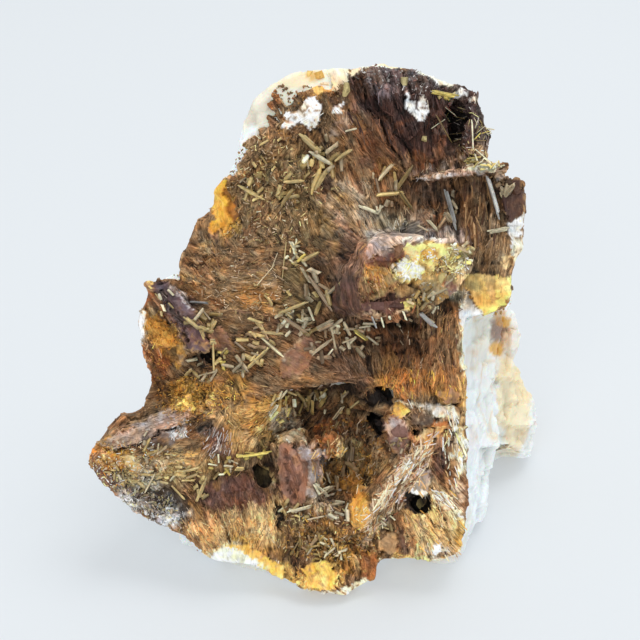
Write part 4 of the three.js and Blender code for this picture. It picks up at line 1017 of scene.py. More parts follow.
def quartz_matrix():
    """The quartz, chipped and stained, with painted shade in its hollows."""
    piece = even_skin("quartz_matrix", "quartz", QUARTZ_CELL, swellings())
    mesh = piece.data
    put(mesh, rounded(mesh, places(mesh), 4))
    co = places(mesh)
    lift = 1.2 * chips(co, 10, 20) + 0.6 * chips(co, 4.5, 30) + 0.3 * chips(co, 2.2, 31) + 0.12 * billows(co, 1.6, 40)
    lift *= 0.4 + 0.6 * np.clip((-co[:, 2] - 8) / 12, 0, 1)
    co = nudged(co + normals(mesh) * lift[:, None])
    put(mesh, co)
    veins = np.clip(1 - 20 * np.abs(noise(co, 9, 58)), 0, 1) * np.clip(0.4 + 2 * noise(co, 18, 59), 0, 1)
    away = co[:, 2] < -6
    films = [
        ("ivory", np.clip(0.3 + 1.5 * billows(co, 18, 50), 0, 1) * (0.3 + 0.5 * away)),
        ("wheat", veins * (0.04 + 0.5 * away)),
        ("ochre", np.clip(1.6 * billows(co, 10, 54, 4) - 0.45, 0, 0.8) * away),
    ]
    tint = np.tile(PALETTE["snow"], (len(co), 1))
    for name, share in films:
        tint = laid_over(tint, name, share)
    spots = pixels(co)
    for patch in STAINS:
        deepest, nearest = patch[7:] or (-100, 100)
        share = patch[6] * ragged(spots, patch) * (co[:, 2] > deepest) * (co[:, 2] < nearest)
        tint = laid_over(tint, patch[5], share)
    # Painted shade: the quartz is darker in its hollows.
    tint *= np.clip(1 - 0.35 * hollowness(mesh, co, normals(mesh), 12), 0.6, 1.1)[:, None]
    paint(mesh, tint)
    return piece


def surface_of(*pieces):
    """A finder of nearest and struck points on pieces."""
    bm = bmesh.new()
    for piece in pieces:
        bm.from_mesh(piece.data)
    tree = BVHTree.FromBMesh(bm)
    bm.free()
    return tree


# ---------------------------------------------------------------- fibres and grains

def struck(tree, px, py):
    """What the camera sees through a pixel: the point, the surface's normal there and the ray, or None."""
    ray = sight(px, py)
    hit, normal = tree.ray_cast(EYE, ray)[:2]
    return (hit, normal, ray) if hit else None


def strewn(random, tree, oval):
    """What the camera sees at a random spot of a turned oval."""
    x, y, half_length, half_width, turn = oval
    r, b = math.sqrt(random.random()), random.uniform(0, 2 * math.pi)
    du, dv = half_length * r * math.cos(b), half_width * r * math.sin(b)
    a = math.radians(turn)
    return struck(tree, x + du * math.cos(a) + dv * math.sin(a), y - du * math.sin(a) + dv * math.cos(a))


def along_surface(angle, normal, rise):
    """A direction along a surface, at an angle on the face, that rises a little out of the surface."""
    run = np.array((math.cos(angle), math.sin(angle), 0))
    run -= normal * (run @ normal)
    return run / np.linalg.norm(run) + normal * rise


def settled(tree, points):
    """The nearest points on a surface and its normals there."""
    found = [tree.find_nearest(p)[:2] for p in points]
    return np.array([f[0][:] for f in found]), np.array([f[1][:] for f in found])


FIBRE_COUNT = 9000  # slivers that are tried for each of the two pieces of fibres


def fibre_piece(name, bundles, tree, stamp, count, seed):
    """Slivers of limonite on the crust, most of them along the bundle that they grew in."""
    random = np.random.default_rng(seed)
    chance = bundles.length ** 2 * (1 - bundles.smooth) * np.clip(bundles.out[:, 2] - 0.3, 0, 0.4)
    home = random.choice(len(bundles.place), count, p=chance / chance.sum())
    u = random.uniform(-0.8, 0.8, count) * bundles.length[home]
    v = random.uniform(-0.9, 0.9, count) * bundles.width[home]
    middle = bundles.place[home] + bundles.along[home] * u[:, None] + bundles.side[home] * v[:, None]
    spot, out = settled(tree, middle)
    length = np.minimum(bundles.length[home], 5) * random.uniform(0.2, 0.6, count)
    ends = np.concatenate([spot + bundles.along[home] * (side * length * 0.6)[:, None] for side in (-1, 1)])
    lift = Vector((0, 0, 6))
    backed = np.array([tree.ray_cast(Vector(end) + lift, (0, 0, -1), 12)[0] is not None for end in ends])
    kept = backed.reshape(2, -1).all(0) & (random.random(count) > smoothness(spot))
    spot, out, home, length = spot[kept], out[kept], home[kept], length[kept]
    count = len(spot)
    rise = random.uniform(-0.03, 0.03, count)
    stray = 0.1 * random.normal(size=count)
    direction = bundles.along[home] + bundles.side[home] * stray[:, None]
    direction -= out * np.einsum("ij,ij->i", direction, out)[:, None]
    direction += out * rise[:, None]
    width = random.uniform(0.04, 0.12, count)
    axes = axes_along(direction, out, length, width, width * 0.8)
    spot -= out * (random.uniform(0, 0.06, count) + 0.4 * (out[:, 2] < 0.3))[:, None]
    # Each sliver takes its bundle's mean painted shade, with a random variation of its own.
    shade = np.exp(random.normal(0.06, 0.34, count)) * bundles.tone[home]
    tint = bundles.tinted(crust_colour(spot), home) * shade[:, None]
    return stamp.repeated(name, spot, axes, tint)


def lath_stamp():
    """A splintery bar with chamfered edges and slanting broken ends."""
    bm = bmesh.new()
    bmesh.ops.create_cube(bm, size=1)
    bmesh.ops.bevel(bm, geom=bm.edges, offset=0.1, segments=1, profile=0.5, affect="EDGES", material=-1)
    for v in bm.verts:
        v.co.x *= 2
        v.co.y *= 2
        v.co.z += 0.16 * v.co.x * v.co.z + 0.1 * v.co.y * v.co.z
    # Painted light and shade: lighter on the upper side, darker underneath, with lighter broken ends.
    return Stamp(bm, lambda co: 1 + 0.3 * co.y + 0.2 * abs(co.z))


# Splintery bars: [pixel, pixel, half length, half width, turn, how many, longest and widest in mm, run, its spread,
# colours]
LATHS = [
    (405, 128, 54, 34, -10, 20, 4, 0.4, 110, 4, "dark black wine"),
    (482, 215, 22, 40, 0, 34, 5, 0.45, 88, 4, "brown dark tan"),
    (430, 340, 36, 36, 0, 60, 3, 0.3, 90, 4, "umber brown purple beige"),
    (415, 385, 50, 14, 4, 50, 2.4, 0.3, 86, 7, "ochre gold brown"),
    (440, 520, 34, 40, 20, 50, 3.6, 0.3, 130, 6, "ochre tan brown beige"),
    (452, 450, 10, 40, 0, 60, 3, 0.3, 100, 8, "cream shell wheat beige"),
    (402, 482, 58, 15, 56, 300, 2.6, 0.34, 54, 26, "beige beige lilac brown tan umber tan"),
    (398, 486, 60, 8, 56, 30, 4, 0.4, 54, 8, "cream beige"),
    (446, 502, 18, 4, -42, 10, 3.4, 0.3, 138, 8, "cream shell"),
    (178, 432, 8, 7, 0, 26, 1.6, 0.25, 60, 90, "white silver grey"),
    (262, 190, 60, 55, 0, 700, 1.3, 0.18, 90, 90, "tan beige olive brown khaki"),
    (240, 285, 54, 34, -20, 420, 1.5, 0.18, 165, 50, "tan beige brown olive"),
    (200, 395, 40, 20, 0, 220, 1, 0.18, 90, 90, "gold straw ochre brown dark"),
    (126, 464, 38, 20, 20, 240, 1, 0.22, 90, 90, "cream wheat cream khaki orange brown"),
    (330, 532, 60, 30, 0, 420, 1.3, 0.2, 100, 80, "olive tan beige ochre khaki"),
    (150, 500, 40, 16, -35, 220, 1.1, 0.18, 90, 90, "silver khaki dark grey silver"),
    (218, 442, 14, 16, 60, 60, 2, 0.22, 65, 14, "silver grey slate lilac"),
    (345, 455, 36, 40, 0, 260, 2.2, 0.24, 75, 40, "tan ochre brown beige olive"),
    (395, 80, 60, 14, -10, 160, 1.3, 0.2, 100, 60, "slate grey wine dark plum"),
    (409, 270, 14, 10, 0, 80, 1.5, 0.34, 0, 90, "shell yellow cream"),
    (425, 252, 18, 8, 0, 60, 1.4, 0.3, 20, 60, "straw gold cream shell"),
    (455, 262, 14, 16, 0, 90, 1.3, 0.3, 0, 90, "khaki yellow cream khaki olive"),
    (374, 284, 12, 12, 0, 60, 1.5, 0.3, 110, 30, "olive brown tan umber"),
    (472, 130, 18, 40, 0, 60, 1.4, 0.18, 95, 60, "slate silver khaki"),
]


def laths(name, bundles, tree, stamp, seed):
    """Splintery bars that lie on the crust, strewn over the places of the table."""
    random = np.random.default_rng(seed)
    spots, out, runs, sizes, tints = [], [], [], [], []
    for x, y, half_length, half_width, turn, count, longest, widest, run, spread, names in LATHS:
        kinds = [PALETTE[kind] for kind in names.split()]
        for _ in range(count):
            found = strewn(random, tree, (x, y, half_length, half_width, turn))
            heading = math.radians(run + random.normal(0, spread))
            length, width = longest * random.uniform(0.4, 1), widest * random.uniform(0.4, 1)
            flat = random.uniform(0.5, 1)
            tint = kinds[random.integers(len(kinds))] * math.exp(random.normal(0, 0.2))
            sunk, rise = random.uniform(-0.9, 0.5), random.uniform(-0.1, 0.1)
            if found is None or found[1].z < 0.2:
                continue
            hit, normal = np.array(found[0]), np.array(found[1])
            spots.append(hit + normal * sunk * width * 0.5)
            out.append(normal)
            runs.append(along_surface(heading, normal, rise))
            sizes.append((length, width / 2, width * flat / 2))
            tints.append(tint)
    bare = smoothness(np.array(spots)) < 0.92
    spots, out, runs, sizes, tints = (np.array(part)[bare] for part in (spots, out, runs, sizes, tints))
    axes = axes_along(runs, out, *sizes.T)
    # Each lath takes its bundle's mean painted shade.
    return stamp.repeated(name, spots, axes, tints * bundles.tone[bundles.home(spots)][:, None])


# Broken blocks: [pixel, pixel, half length, half width, turn, thickness and lift in mm, colour]
BLOCKS = [
    (462, 249, 7, 3, -20, 2, 0.4, "beige"), (399, 250, 8, 4, 50, 2.2, 0.6, "umber"),
    (374, 306, 10, 4, 0, 2.4, 0.1, "purple"), (394, 306, 10, 4, 8, 2.2, 0.2, "wine"),
    (430, 288, 8, 5, 40, 2.2, 0.1, "olive"), (442, 277, 7, 4, 60, 2, 0.1, "khaki"),
    (318, 76, 6, 4, 20, 1.8, 0.1, "gold"), (309, 74, 4, 3, 70, 1.8, 0.1, "yellow"),
    (324, 84, 5, 3, 0, 1.8, 0.1, "cream"), (346, 90, 4, 7, 0, 2, 0.2, "khaki"), (404, 81, 4, 4, 0, 2, 0.6, "khaki"),
    (424, 139, 3, 3, 0, 2, 0.8, "khaki"), (398, 432, 8, 9, 10, 2.6, 0.2, "plum"),
    (505, 200, 5, 14, 10, 2.6, 0.1, "wine"), (514, 190, 6, 6, 30, 2.6, 0.2, "dark"),
    (508, 184, 5, 4, 40, 2.2, 0.3, "black"), (250, 180, 4, 4, 0, 1.8, 0.3, "khaki"),
    (260, 174, 3, 3, 0, 1.8, 0.4, "lime"), (250, 192, 3, 3, 0, 1.4, 0.2, "lime"),
]


def broken_blocks(name, tree, stamps, seed):
    """Angular blocks laid on the crust, shared out over a few shapes."""
    random = np.random.default_rng(seed)
    laid = []
    for x, y, half_length, half_width, turn, thickness, lift, tint in BLOCKS:
        found = struck(tree, x, y)
        if found is None:
            continue
        hit, normal = np.array(found[0]), np.array(found[1])
        out = normal + (0, 0, 1) + 0.3 * random.normal(size=3)
        out /= np.linalg.norm(out)
        a = math.radians(turn)
        run = np.array((math.cos(a), math.sin(a), 0))
        run -= out * (run @ out)
        halves = half_length * PIXEL, half_width * PIXEL, 0.5 * thickness
        laid.append((hit + out * (lift - 0.3 * thickness), run, out, *halves, tint))
    made = []
    for number, stamp in enumerate(stamps):
        mine = laid[number::len(stamps)]
        spots, runs, out = (np.array([one[k] for one in mine]) for k in range(3))
        length, width, height = (np.array([one[k] for one in mine]) * 1.25 for k in (3, 4, 5))
        tints = np.array([PALETTE[one[6]] for one in mine]) * np.exp(random.normal(0, 0.1, len(mine)))[:, None]
        tints = 0.7 * tints + 0.3 * crust_colour(spots)
        made.append(stamp.repeated(f"{name}_{number + 1}", spots, axes_along(runs, out, length, width, height), tints))
    return made


# Crumbly places: [pixel, pixel, half length, half width, turn, how many, largest grain in mm, colours]
CRUMBS = [
    (414, 266, 22, 12, 5, 70, 0.9, "white yellow cream gold"),
    (407, 268, 10, 8, 0, 16, 1.3, "white cream white yellow"), (284, 104, 11, 20, 15, 60, 0.8, "brown rust dark"),
    (312, 94, 26, 10, 10, 110, 0.8, "brown dark rust ochre"), (342, 92, 10, 18, 0, 70, 0.8, "dark plum olive"),
    (296, 132, 40, 6, 25, 90, 0.6, "brown tan beige"), (250, 152, 22, 8, 30, 80, 0.6, "brown tan olive"),
    (452, 262, 20, 16, 0, 140, 0.7, "olive grey cream"), (380, 270, 14, 20, 0, 60, 0.7, "ochre rust tan"),
    (430, 292, 22, 10, 0, 60, 0.7, "ochre cream grey"), (488, 296, 24, 20, 0, 160, 0.6, "gold yellow ochre"),
    (190, 400, 36, 22, 0, 420, 0.6, "gold ochre orange tan"), (165, 330, 16, 20, 30, 160, 0.6, "orange gold rust"),
    (110, 458, 26, 16, 20, 200, 0.7, "gold cream tan wheat rust"),
    (150, 500, 50, 18, -35, 420, 0.7, "grey khaki silver dark black khaki"),
    (172, 518, 14, 8, -20, 60, 0.7, "white grey"), (178, 430, 14, 12, 0, 50, 0.5, "grey white"),
    (240, 560, 44, 12, -12, 260, 0.7, "yellow gold cream"), (320, 578, 28, 15, 10, 220, 0.7, "gold yellow ochre"),
    (330, 545, 44, 18, 0, 300, 0.6, "olive ochre tan gold dark"),
    (400, 75, 60, 14, -8, 260, 0.6, "dark grey plum white"), (470, 110, 24, 36, 0, 220, 0.6, "dark plum black"),
    (350, 450, 36, 34, 0, 300, 0.8, "rust ochre dark"), (390, 540, 26, 14, 0, 140, 0.8, "tan rust dark"),
    (224, 212, 12, 26, 15, 90, 0.8, "gold orange yellow"), (210, 240, 50, 60, 0, 300, 0.5, "tan olive brown"),
    (270, 200, 50, 50, 0, 400, 0.45, "olive tan brown beige"), (141, 326, 6, 18, 0, 60, 0.7, "white cream"),
    (155, 365, 16, 20, 0, 110, 0.6, "rust gold dark"), (145, 470, 50, 14, 18, 260, 0.6, "cream khaki wheat tan"),
    (505, 195, 14, 24, 0, 90, 0.8, "purple black dark"), (258, 415, 36, 20, 0, 200, 0.5, "ochre gold tan"),
    (230, 530, 44, 20, 0, 160, 0.5, "tan ochre plum"),
]


def crumbs(name, tree, stamp, seed):
    """Grains on the crust and the quartz, strewn over the places of the table."""
    random = np.random.default_rng(seed)
    spots, axes, tints, shades = [], [], [], []
    for x, y, half_length, half_width, turn, count, largest, names in CRUMBS:
        kinds = [PALETTE[kind] for kind in names.split()]
        for _ in range(count):
            found = strewn(random, tree, (x, y, half_length, half_width, turn))
            size = largest * random.uniform(0.3, 1) ** 1.5 * 0.6
            basis = random.normal(size=(3, 3))
            shade = math.exp(random.normal(0, 0.22))
            kind = kinds[random.integers(len(kinds))]
            if found is None:
                continue
            spots.append(np.array(found[0]) + np.array(found[1]) * size * 0.1)
            axes.append(np.linalg.qr(basis)[0] * size * random.uniform(0.5, 1.2, 3)[:, None])
            tints.append(kind)
            shades.append(shade)
    bare = smoothness(np.array(spots)) < 0.85
    spots, axes, tints, shades = (np.array(part)[bare] for part in (spots, axes, tints, shades))
    tints = (0.5 * tints + 0.5 * crust_colour(spots)) * shades[:, None]
    return stamp.repeated(name, spots, axes, tints)


# ---------------------------------------------------------------- pyromorphite

CRYSTAL_TINTS = {
    "khaki": colour(196, 172, 114), "olive": colour(158, 134, 80), "lime": colour(212, 190, 98),
    "ash": colour(182, 166, 134), "pale": colour(228, 218, 184), "steel": colour(190, 192, 190),
    "clay": colour(156, 132, 102),
}

# Crystals that lie alone: [end pixels, half width in pixels, tint, lift of each end in mm]
STICKS = [
    (303, 137, 318, 151, 3.4, "khaki", 0.6, 1.4), (312, 153, 328, 163, 2.6, "pale", 0.8, 1.6),
    (327, 163, 339, 153, 2.6, "olive", 1.2, 1.8), (338, 159, 350, 151, 2.4, "khaki", 0.8, 2),
    (312, 191, 321, 169, 3.2, "olive", 0.6, 1.6), (316, 188, 326, 172, 2.4, "khaki", 0.5, 1.4),
    (284, 182, 303, 181, 2, "khaki", 0.8, 1), (281, 206, 292, 190, 2, "olive", 0.4, 1.2),
    (240, 182, 250, 172, 2, "ash", 0.4, 1.2), (240, 186, 259, 197, 2.2, "khaki", 0.4, 1),
    (256, 176, 262, 173, 2, "olive", 0.4, 1.4), (290, 178, 289, 168, 1.4, "olive", 0.4, 1.2),
    (306, 157, 309, 170, 1.6, "ash", 0.4, 0.8), (347, 131, 355, 129, 1.4, "pale", 0.4, 0.8),
    (378, 195, 401, 193, 2.2, "khaki", 0.8, 1.4), (400, 193, 411, 208, 2.2, "olive", 1.4, 0.8),
    (380, 178, 392, 165, 2.2, "ash", 0.5, 1.6), (396, 190, 410, 170, 2.2, "olive", 0.6, 2),
    (376, 178, 379, 192, 1.6, "clay", 0.4, 0.8), (360, 206, 375, 212, 2, "pale", 0.6, 1.2),
    (446, 191, 455, 223, 2.4, "steel", 0.8, 1.6), (488, 178, 498, 212, 2.2, "steel", 0.8, 1.4),
    (428, 220, 437, 230, 1.8, "pale", 0.6, 1.4), (438, 229, 446, 217, 2.2, "clay", 0.6, 1.4),
    (446, 213, 455, 223, 2.4, "ash", 0.6, 1.4), (417, 225, 428, 231, 1.4, "ash", 0.5, 0.8),
    (490, 232, 506, 229, 2.4, "pale", 0.8, 1.4), (434, 92, 454, 96, 2.4, "lime", 0.8, 1.4),
    (438, 118, 450, 142, 0.9, "olive", 1, 2.4), (450, 110, 440, 128, 0.6, "lime", 1, 2),
    (444, 120, 432, 128, 0.6, "pale", 1, 1.2), (446, 108, 452, 120, 0.6, "pale", 2, 1.2),
    (466, 159, 481, 157, 1.4, "lime", 0.8, 1.6), (474, 148, 491, 163, 0.7, "pale", 1, 1.6),
    (476, 120, 490, 128, 0.7, "olive", 0.8, 1.6), (472, 122, 473, 150, 1.2, "pale", 0.8, 1),
    (478, 118, 488, 132, 0.7, "olive", 0.8, 1.4), (500, 178, 509, 169, 2, "clay", 0.8, 1.6),
    (504, 198, 513, 187, 2, "ash", 0.6, 1.6), (498, 170, 506, 166, 1.6, "dark", 0.6, 1.4),
    (192, 302, 206, 303, 1.6, "steel", 0.6, 0.8), (186, 318, 199, 329, 2.2, "khaki", 0.6, 1.6),
    (198, 327, 213, 332, 2.4, "khaki", 0.8, 1.6), (194, 321, 205, 309, 1.8, "ash", 0.6, 1.6),
    (203, 311, 211, 321, 1.6, "ash", 0.8, 1.2), (201, 330, 204, 338, 2, "olive", 0.6, 1.6),
    (213, 343, 215, 369, 1.6, "khaki", 1.2, 1.2), (210, 342, 216, 342, 3.2, "khaki", 1.4, 1.8),
    (187, 361, 197, 359, 1.8, "pale", 0.4, 1), (198, 376, 214, 372, 1.4, "ash", 0.4, 1),
    (248, 318, 261, 323, 1.8, "khaki", 0.6, 1.2), (260, 324, 267, 339, 1.8, "clay", 0.6, 1),
    (263, 332, 281, 334, 1.8, "khaki", 0.6, 1.4), (264, 340, 281, 355, 1.8, "ash", 0.4, 1),
    (236, 356, 246, 369, 2, "ash", 0.4, 1.2), (242, 354, 259, 363, 2.4, "khaki", 0.6, 1.2),
    (246, 370, 267, 350, 2, "khaki", 0.4, 1.6), (310, 278, 328, 305, 2.2, "clay", 0.6, 1.4),
    (316, 329, 331, 321, 2, "ash", 0.6, 1.4), (280, 313, 303, 304, 1.8, "khaki", 0.6, 1.4),
    (284, 318, 304, 331, 2, "clay", 0.6, 1.2), (308, 306, 314, 321, 1.6, "pale", 0.6, 1.2),
    (302, 261, 317, 253, 2.2, "khaki", 0.6, 1.6), (286, 244, 282, 281, 0.9, "khaki", 0.4, 0.4),
    (258, 284, 272, 268, 0.8, "ash", 0.3, 0.4), (272, 268, 278, 252, 0.8, "ash", 0.4, 0.3),
    (312, 354, 331, 340, 1.8, "ash", 0.6, 1.4), (326, 358, 333, 349, 1.4, "pale", 0.6, 1.2),
    (338, 284, 359, 274, 2.2, "khaki", 0.8, 1.2), (324, 297, 337, 286, 2, "ash", 0.8, 1.4),
    (317, 331, 333, 324, 2.2, "clay", 0.6, 1.4), (330, 329, 343, 319, 2, "ash", 0.6, 1.6),
    (332, 330, 336, 352, 1.6, "ash", 0.6, 1), (342, 343, 355, 338, 1.6, "ash", 0.6, 1.4),
    (357, 328, 371, 326, 1.6, "pale", 0.6, 1.2), (368, 337, 377, 344, 1.6, "pale", 0.8, 1.2),
    (355, 331, 366, 339, 2.2, "lime", 0.8, 1.4), (344, 323, 350, 335, 1.8, "ash", 0.6, 1.2),
    (372, 317, 374, 328, 1.3, "steel", 0.4, 0.8), (381, 317, 381, 327, 1.3, "pale", 0.4, 0.8),
    (403, 311, 403, 320, 1.3, "pale", 0.4, 0.8), (420, 313, 434, 327, 2.4, "steel", 1, 1.4),
    (424, 316, 436, 324, 1.6, "pale", 1, 1.4), (418, 292, 429, 307, 1.8, "khaki", 0.8, 1.2),
    (428, 297, 449, 288, 1.6, "ash", 0.8, 1.4), (446, 284, 453, 279, 1.6, "ash", 0.8, 1.4),
    (311, 409, 316, 395, 1.8, "ash", 0.6, 2.2), (325, 412, 327, 397, 1.8, "pale", 0.6, 2.2),
    (334, 419, 344, 406, 1.8, "ash", 0.6, 2.2), (286, 391, 297, 395, 1.6, "khaki", 0.6, 1.4),
    (296, 392, 304, 401, 1.8, "khaki", 0.6, 1.6), (270, 416, 277, 406, 2, "pale", 0.6, 1.2),
    (160, 477, 198, 468, 1.8, "khaki", 0.6, 0.8), (170, 481, 177, 473, 1.6, "pale", 0.6, 1.2),
    (174, 488, 184, 499, 1.6, "khaki", 0.6, 1.2), (198, 499, 205, 482, 2, "khaki", 0.6, 1.6),
    (144, 451, 150, 439, 1.8, "olive", 0.6, 1.2), (126, 479, 145, 484, 1.6, "khaki", 0.6, 1),
    (144, 494, 156, 472, 1.4, "ash", 0.6, 1), (242, 457, 268, 452, 1.8, "lime", 0.6, 1.4),
    (236, 469, 243, 469, 2.4, "khaki", 0.6, 1.8), (290, 512, 309, 507, 2, "pale", 0.8, 1.4),
    (316, 486, 328, 495, 2, "pale", 0.8, 1.4), (320, 494, 331, 485, 1.6, "ash", 0.8, 1.4),
    (326, 555, 337, 546, 1.6, "pale", 0.8, 1.4), (306, 520, 325, 516, 1.2, "ash", 0.8, 1.2),
]

# Jumbles of crystals: [pixel, pixel, half sizes, how many, longest and thickest in mm, turn, its spread, stand, tints]
JUMBLES = [
    (322, 165, 22, 28, 20, 3.4, 0.9, 60, 60, 0.4, "khaki olive ash"),
    (290, 188, 14, 12, 8, 2.6, 0.7, 60, 60, 0.4, "khaki olive"),
    (250, 186, 12, 14, 5, 2.2, 0.7, 0, 90, 0.4, "olive khaki"),
    (385, 190, 16, 18, 6, 3, 0.7, 60, 60, 0.5, "olive clay ash"),
    (296, 256, 8, 12, 18, 2.2, 0.5, 60, 90, 0.35, "lime lime khaki pale"),
    (316, 290, 16, 20, 12, 3.2, 0.8, 120, 40, 0.4, "clay ash khaki"),
    (298, 322, 22, 16, 22, 2.8, 0.7, 30, 90, 0.5, "olive ash pale"),
    (250, 335, 24, 16, 12, 2.8, 0.7, 150, 50, 0.4, "khaki clay"),
    (204, 322, 12, 14, 8, 2.4, 0.8, 40, 60, 0.5, "khaki olive"),
    (221, 356, 9, 8, 8, 1.8, 0.6, 0, 90, 0.8, "lime khaki"),
    (246, 362, 16, 12, 8, 2.8, 0.7, 40, 60, 0.4, "khaki ash"),
    (200, 372, 18, 10, 8, 2.4, 0.6, 10, 60, 0.4, "ash khaki"),
    (355, 335, 26, 16, 20, 2.6, 0.7, 40, 80, 0.5, "ash pale clay"),
    (325, 345, 16, 14, 8, 2.8, 0.7, 60, 60, 0.4, "ash clay"), (392, 320, 20, 5, 6, 2, 0.5, 90, 20, 0.3, "pale ash"),
    (425, 300, 16, 12, 14, 2, 0.6, 120, 90, 0.6, "olive pale ash"),
    (456, 256, 15, 13, 18, 1.8, 0.5, 60, 90, 0.6, "pale ash lime"),
    (300, 397, 28, 8, 24, 2.8, 0.7, 70, 40, 0.6, "khaki olive pale"),
    (346, 402, 12, 10, 6, 2.4, 0.7, 60, 30, 0.5, "ash khaki"),
    (286, 414, 10, 14, 12, 2.4, 0.6, 40, 90, 0.6, "olive lime ash"),
    (330, 490, 14, 14, 16, 2.6, 0.6, 30, 90, 0.6, "pale ash clay"),
    (296, 512, 18, 8, 10, 2.4, 0.6, 10, 50, 0.5, "pale khaki"),
    (325, 548, 18, 14, 24, 2.2, 0.5, 40, 90, 0.6, "olive pale khaki"),
    (298, 545, 14, 16, 12, 2.4, 0.6, 80, 60, 0.5, "olive clay"),
    (225, 466, 15, 10, 16, 2, 0.5, 60, 90, 0.6, "lime olive pale"),
    (252, 455, 14, 5, 5, 2, 0.6, 10, 30, 0.4, "lime"),
    (134, 484, 20, 12, 26, 2, 0.5, 150, 80, 0.5, "khaki olive pale"),
    (150, 446, 12, 12, 10, 2.2, 0.6, 70, 40, 0.4, "olive ash"),
    (180, 476, 24, 10, 16, 2.4, 0.6, 10, 40, 0.4, "khaki"), (204, 490, 8, 12, 6, 2.4, 0.7, 70, 40, 0.5, "khaki"),
    (150, 506, 24, 12, 24, 1.6, 0.5, 150, 90, 0.5, "ash steel clay"),
    (116, 470, 12, 10, 8, 1.8, 0.5, 150, 60, 0.5, "khaki"),
    (445, 210, 16, 18, 6, 2.4, 0.7, 110, 50, 0.4, "ash clay"),
    (455, 120, 13, 22, 12, 2.8, 0.25, 60, 90, 0.8, "olive pale"),
    (480, 130, 8, 16, 14, 2.4, 0.22, 50, 90, 0.6, "olive pale lime"),
    (446, 95, 12, 4, 6, 1.6, 0.6, 0, 60, 0.5, "lime khaki"), (474, 160, 14, 6, 8, 2, 0.4, 0, 40, 0.5, "lime pale"),
    (484, 166, 16, 4, 22, 1.8, 0.35, 5, 50, 0.4, "pale lime ash"),
    (504, 190, 8, 16, 8, 2.4, 0.7, 60, 40, 0.5, "ash clay"),
    (396, 446, 12, 10, 10, 1.4, 0.4, 60, 90, 0.5, "olive ash"),
    (386, 520, 10, 9, 12, 1.8, 0.45, 80, 90, 0.6, "pale olive"),
    (340, 512, 14, 12, 12, 2.6, 0.6, 150, 50, 0.5, "clay ash pale"),
    (346, 460, 8, 16, 8, 3, 0.9, 85, 15, 0.2, "clay"), (378, 205, 6, 8, 5, 2, 0.5, 40, 60, 0.5, "pale"),
    (270, 290, 30, 30, 10, 2.2, 0.5, 160, 60, 0.3, "khaki clay"),
    (270, 160, 30, 24, 8, 2, 0.5, 80, 60, 0.4, "olive khaki"),
    (165, 300, 10, 14, 6, 2, 0.5, 120, 40, 0.5, "khaki pale"),
]

THINNEST_GROUP = 1.7  # sticks of a larger half width are three crystals side by side

CRYSTAL_NODES = (
    "crown", "upper_left", "under_ledge", "right_block", "right_edge", "crown_pocket", "upper_middle", "centre",
    "under_horn", "beside_slab", "centre_left", "vug_lip", "tongue", "tongue_foot", "vug_floor", "bottom",
)


def lone_crystals(random, tree):
    """Both ends, the radius and the tint of each crystal that lies alone."""
    tips = []
    for x1, y1, x2, y2, half, tint, low, high in STICKS:
        ends = [struck(tree, x1, y1), struck(tree, x2, y2)]
        if None in ends:
            continue
        a, b = (np.array(hit - ray * lift) for (hit, _, ray), lift in zip(ends, (low, high)))
        if abs(a[2] - b[2]) > 3:  # one end is seen past an edge, far behind the other
            b[2] = a[2] + math.copysign(1.5, b[2] - a[2])
        own = CRYSTAL_TINTS.get(tint, PALETTE["dark"])
        beside = np.cross(b - a, (0, 0, 1))
        beside *= half * PIXEL / np.linalg.norm(beside)
        thick = half > THINNEST_GROUP
        for place in (-0.45, 0.4, 0) if thick else (0,):
            stretch, slip = random.uniform(0.72, 1.08), random.normal(0, 0.05)
            middle = (a + b) / 2 + beside * place + (b - a) * slip + (0, 0, 0.3 * half * PIXEL * (place == 0))
            reach = (b - a) * stretch / 2
            size = half * PIXEL * (0.55 if thick else 0.8) * random.uniform(0.85, 1.1)
            tips.append((middle - reach, middle + reach, size, own * random.uniform(0.85, 1.12)))
    return tips


def jumbled_crystals(random, tree):
    """The same for the crystals of the jumbles."""
    tips = []
    for x, y, half_x, half_y, count, longest, thickest, turn, spread, stand, names in JUMBLES:
        kinds = [CRYSTAL_TINTS[name] for name in names.split()]
        for _ in range(count):
            found = strewn(random, tree, (x, y, half_x, half_y, 0))
            a = math.radians(turn + random.uniform(-spread, spread) + 180 * random.integers(2))
            length = longest * random.uniform(0.35, 1)
            radius = 0.52 * thickest * random.uniform(0.65, 1.35)
            rise = stand * random.uniform(-0.2, 1.4)
            tint = kinds[random.integers(len(kinds))]
            if found is None:
                continue
            hit, normal = np.array(found[0]), np.array(found[1])
            run = along_surface(a, normal, rise)
            run /= np.linalg.norm(run)
            foot = hit + normal * radius * 0.7 - run * length * 0.15
            tips.append((foot, foot + run * length, radius, tint))
    return tips


def pyromorphite(tree, stamps, seed):
    """The crystals, shared out over three habits: straight, barrel-shaped and waisted. Also points along each."""
    random = np.random.default_rng(seed)
    tips = lone_crystals(random, tree) + jumbled_crystals(random, tree)
    made = []
    for number, stamp in enumerate(stamps):
        mine = tips[number::len(stamps)]
        a, b = np.array([t[0] for t in mine]), np.array([t[1] for t in mine])
        radius = np.array([t[2] for t in mine])
        out = 0.35 * random.normal(size=(len(mine), 3)) + (0.1, 0.35, 1)
        axes = axes_along(b - a, out, np.linalg.norm(b - a, axis=1), radius, radius)
        shade = np.exp(random.normal(0, 0.25, len(mine)))
        tints = (0.78 * np.array([t[3] for t in mine]) + 0.22 * crust_colour(a)) * shade[:, None]
        made.append(stamp.repeated(f"pyromorphite_{number + 1}", (a + b) / 2, axes, tints))
    return made, np.concatenate([[a, (a + b) / 2, b] for a, b, _, _ in tips])


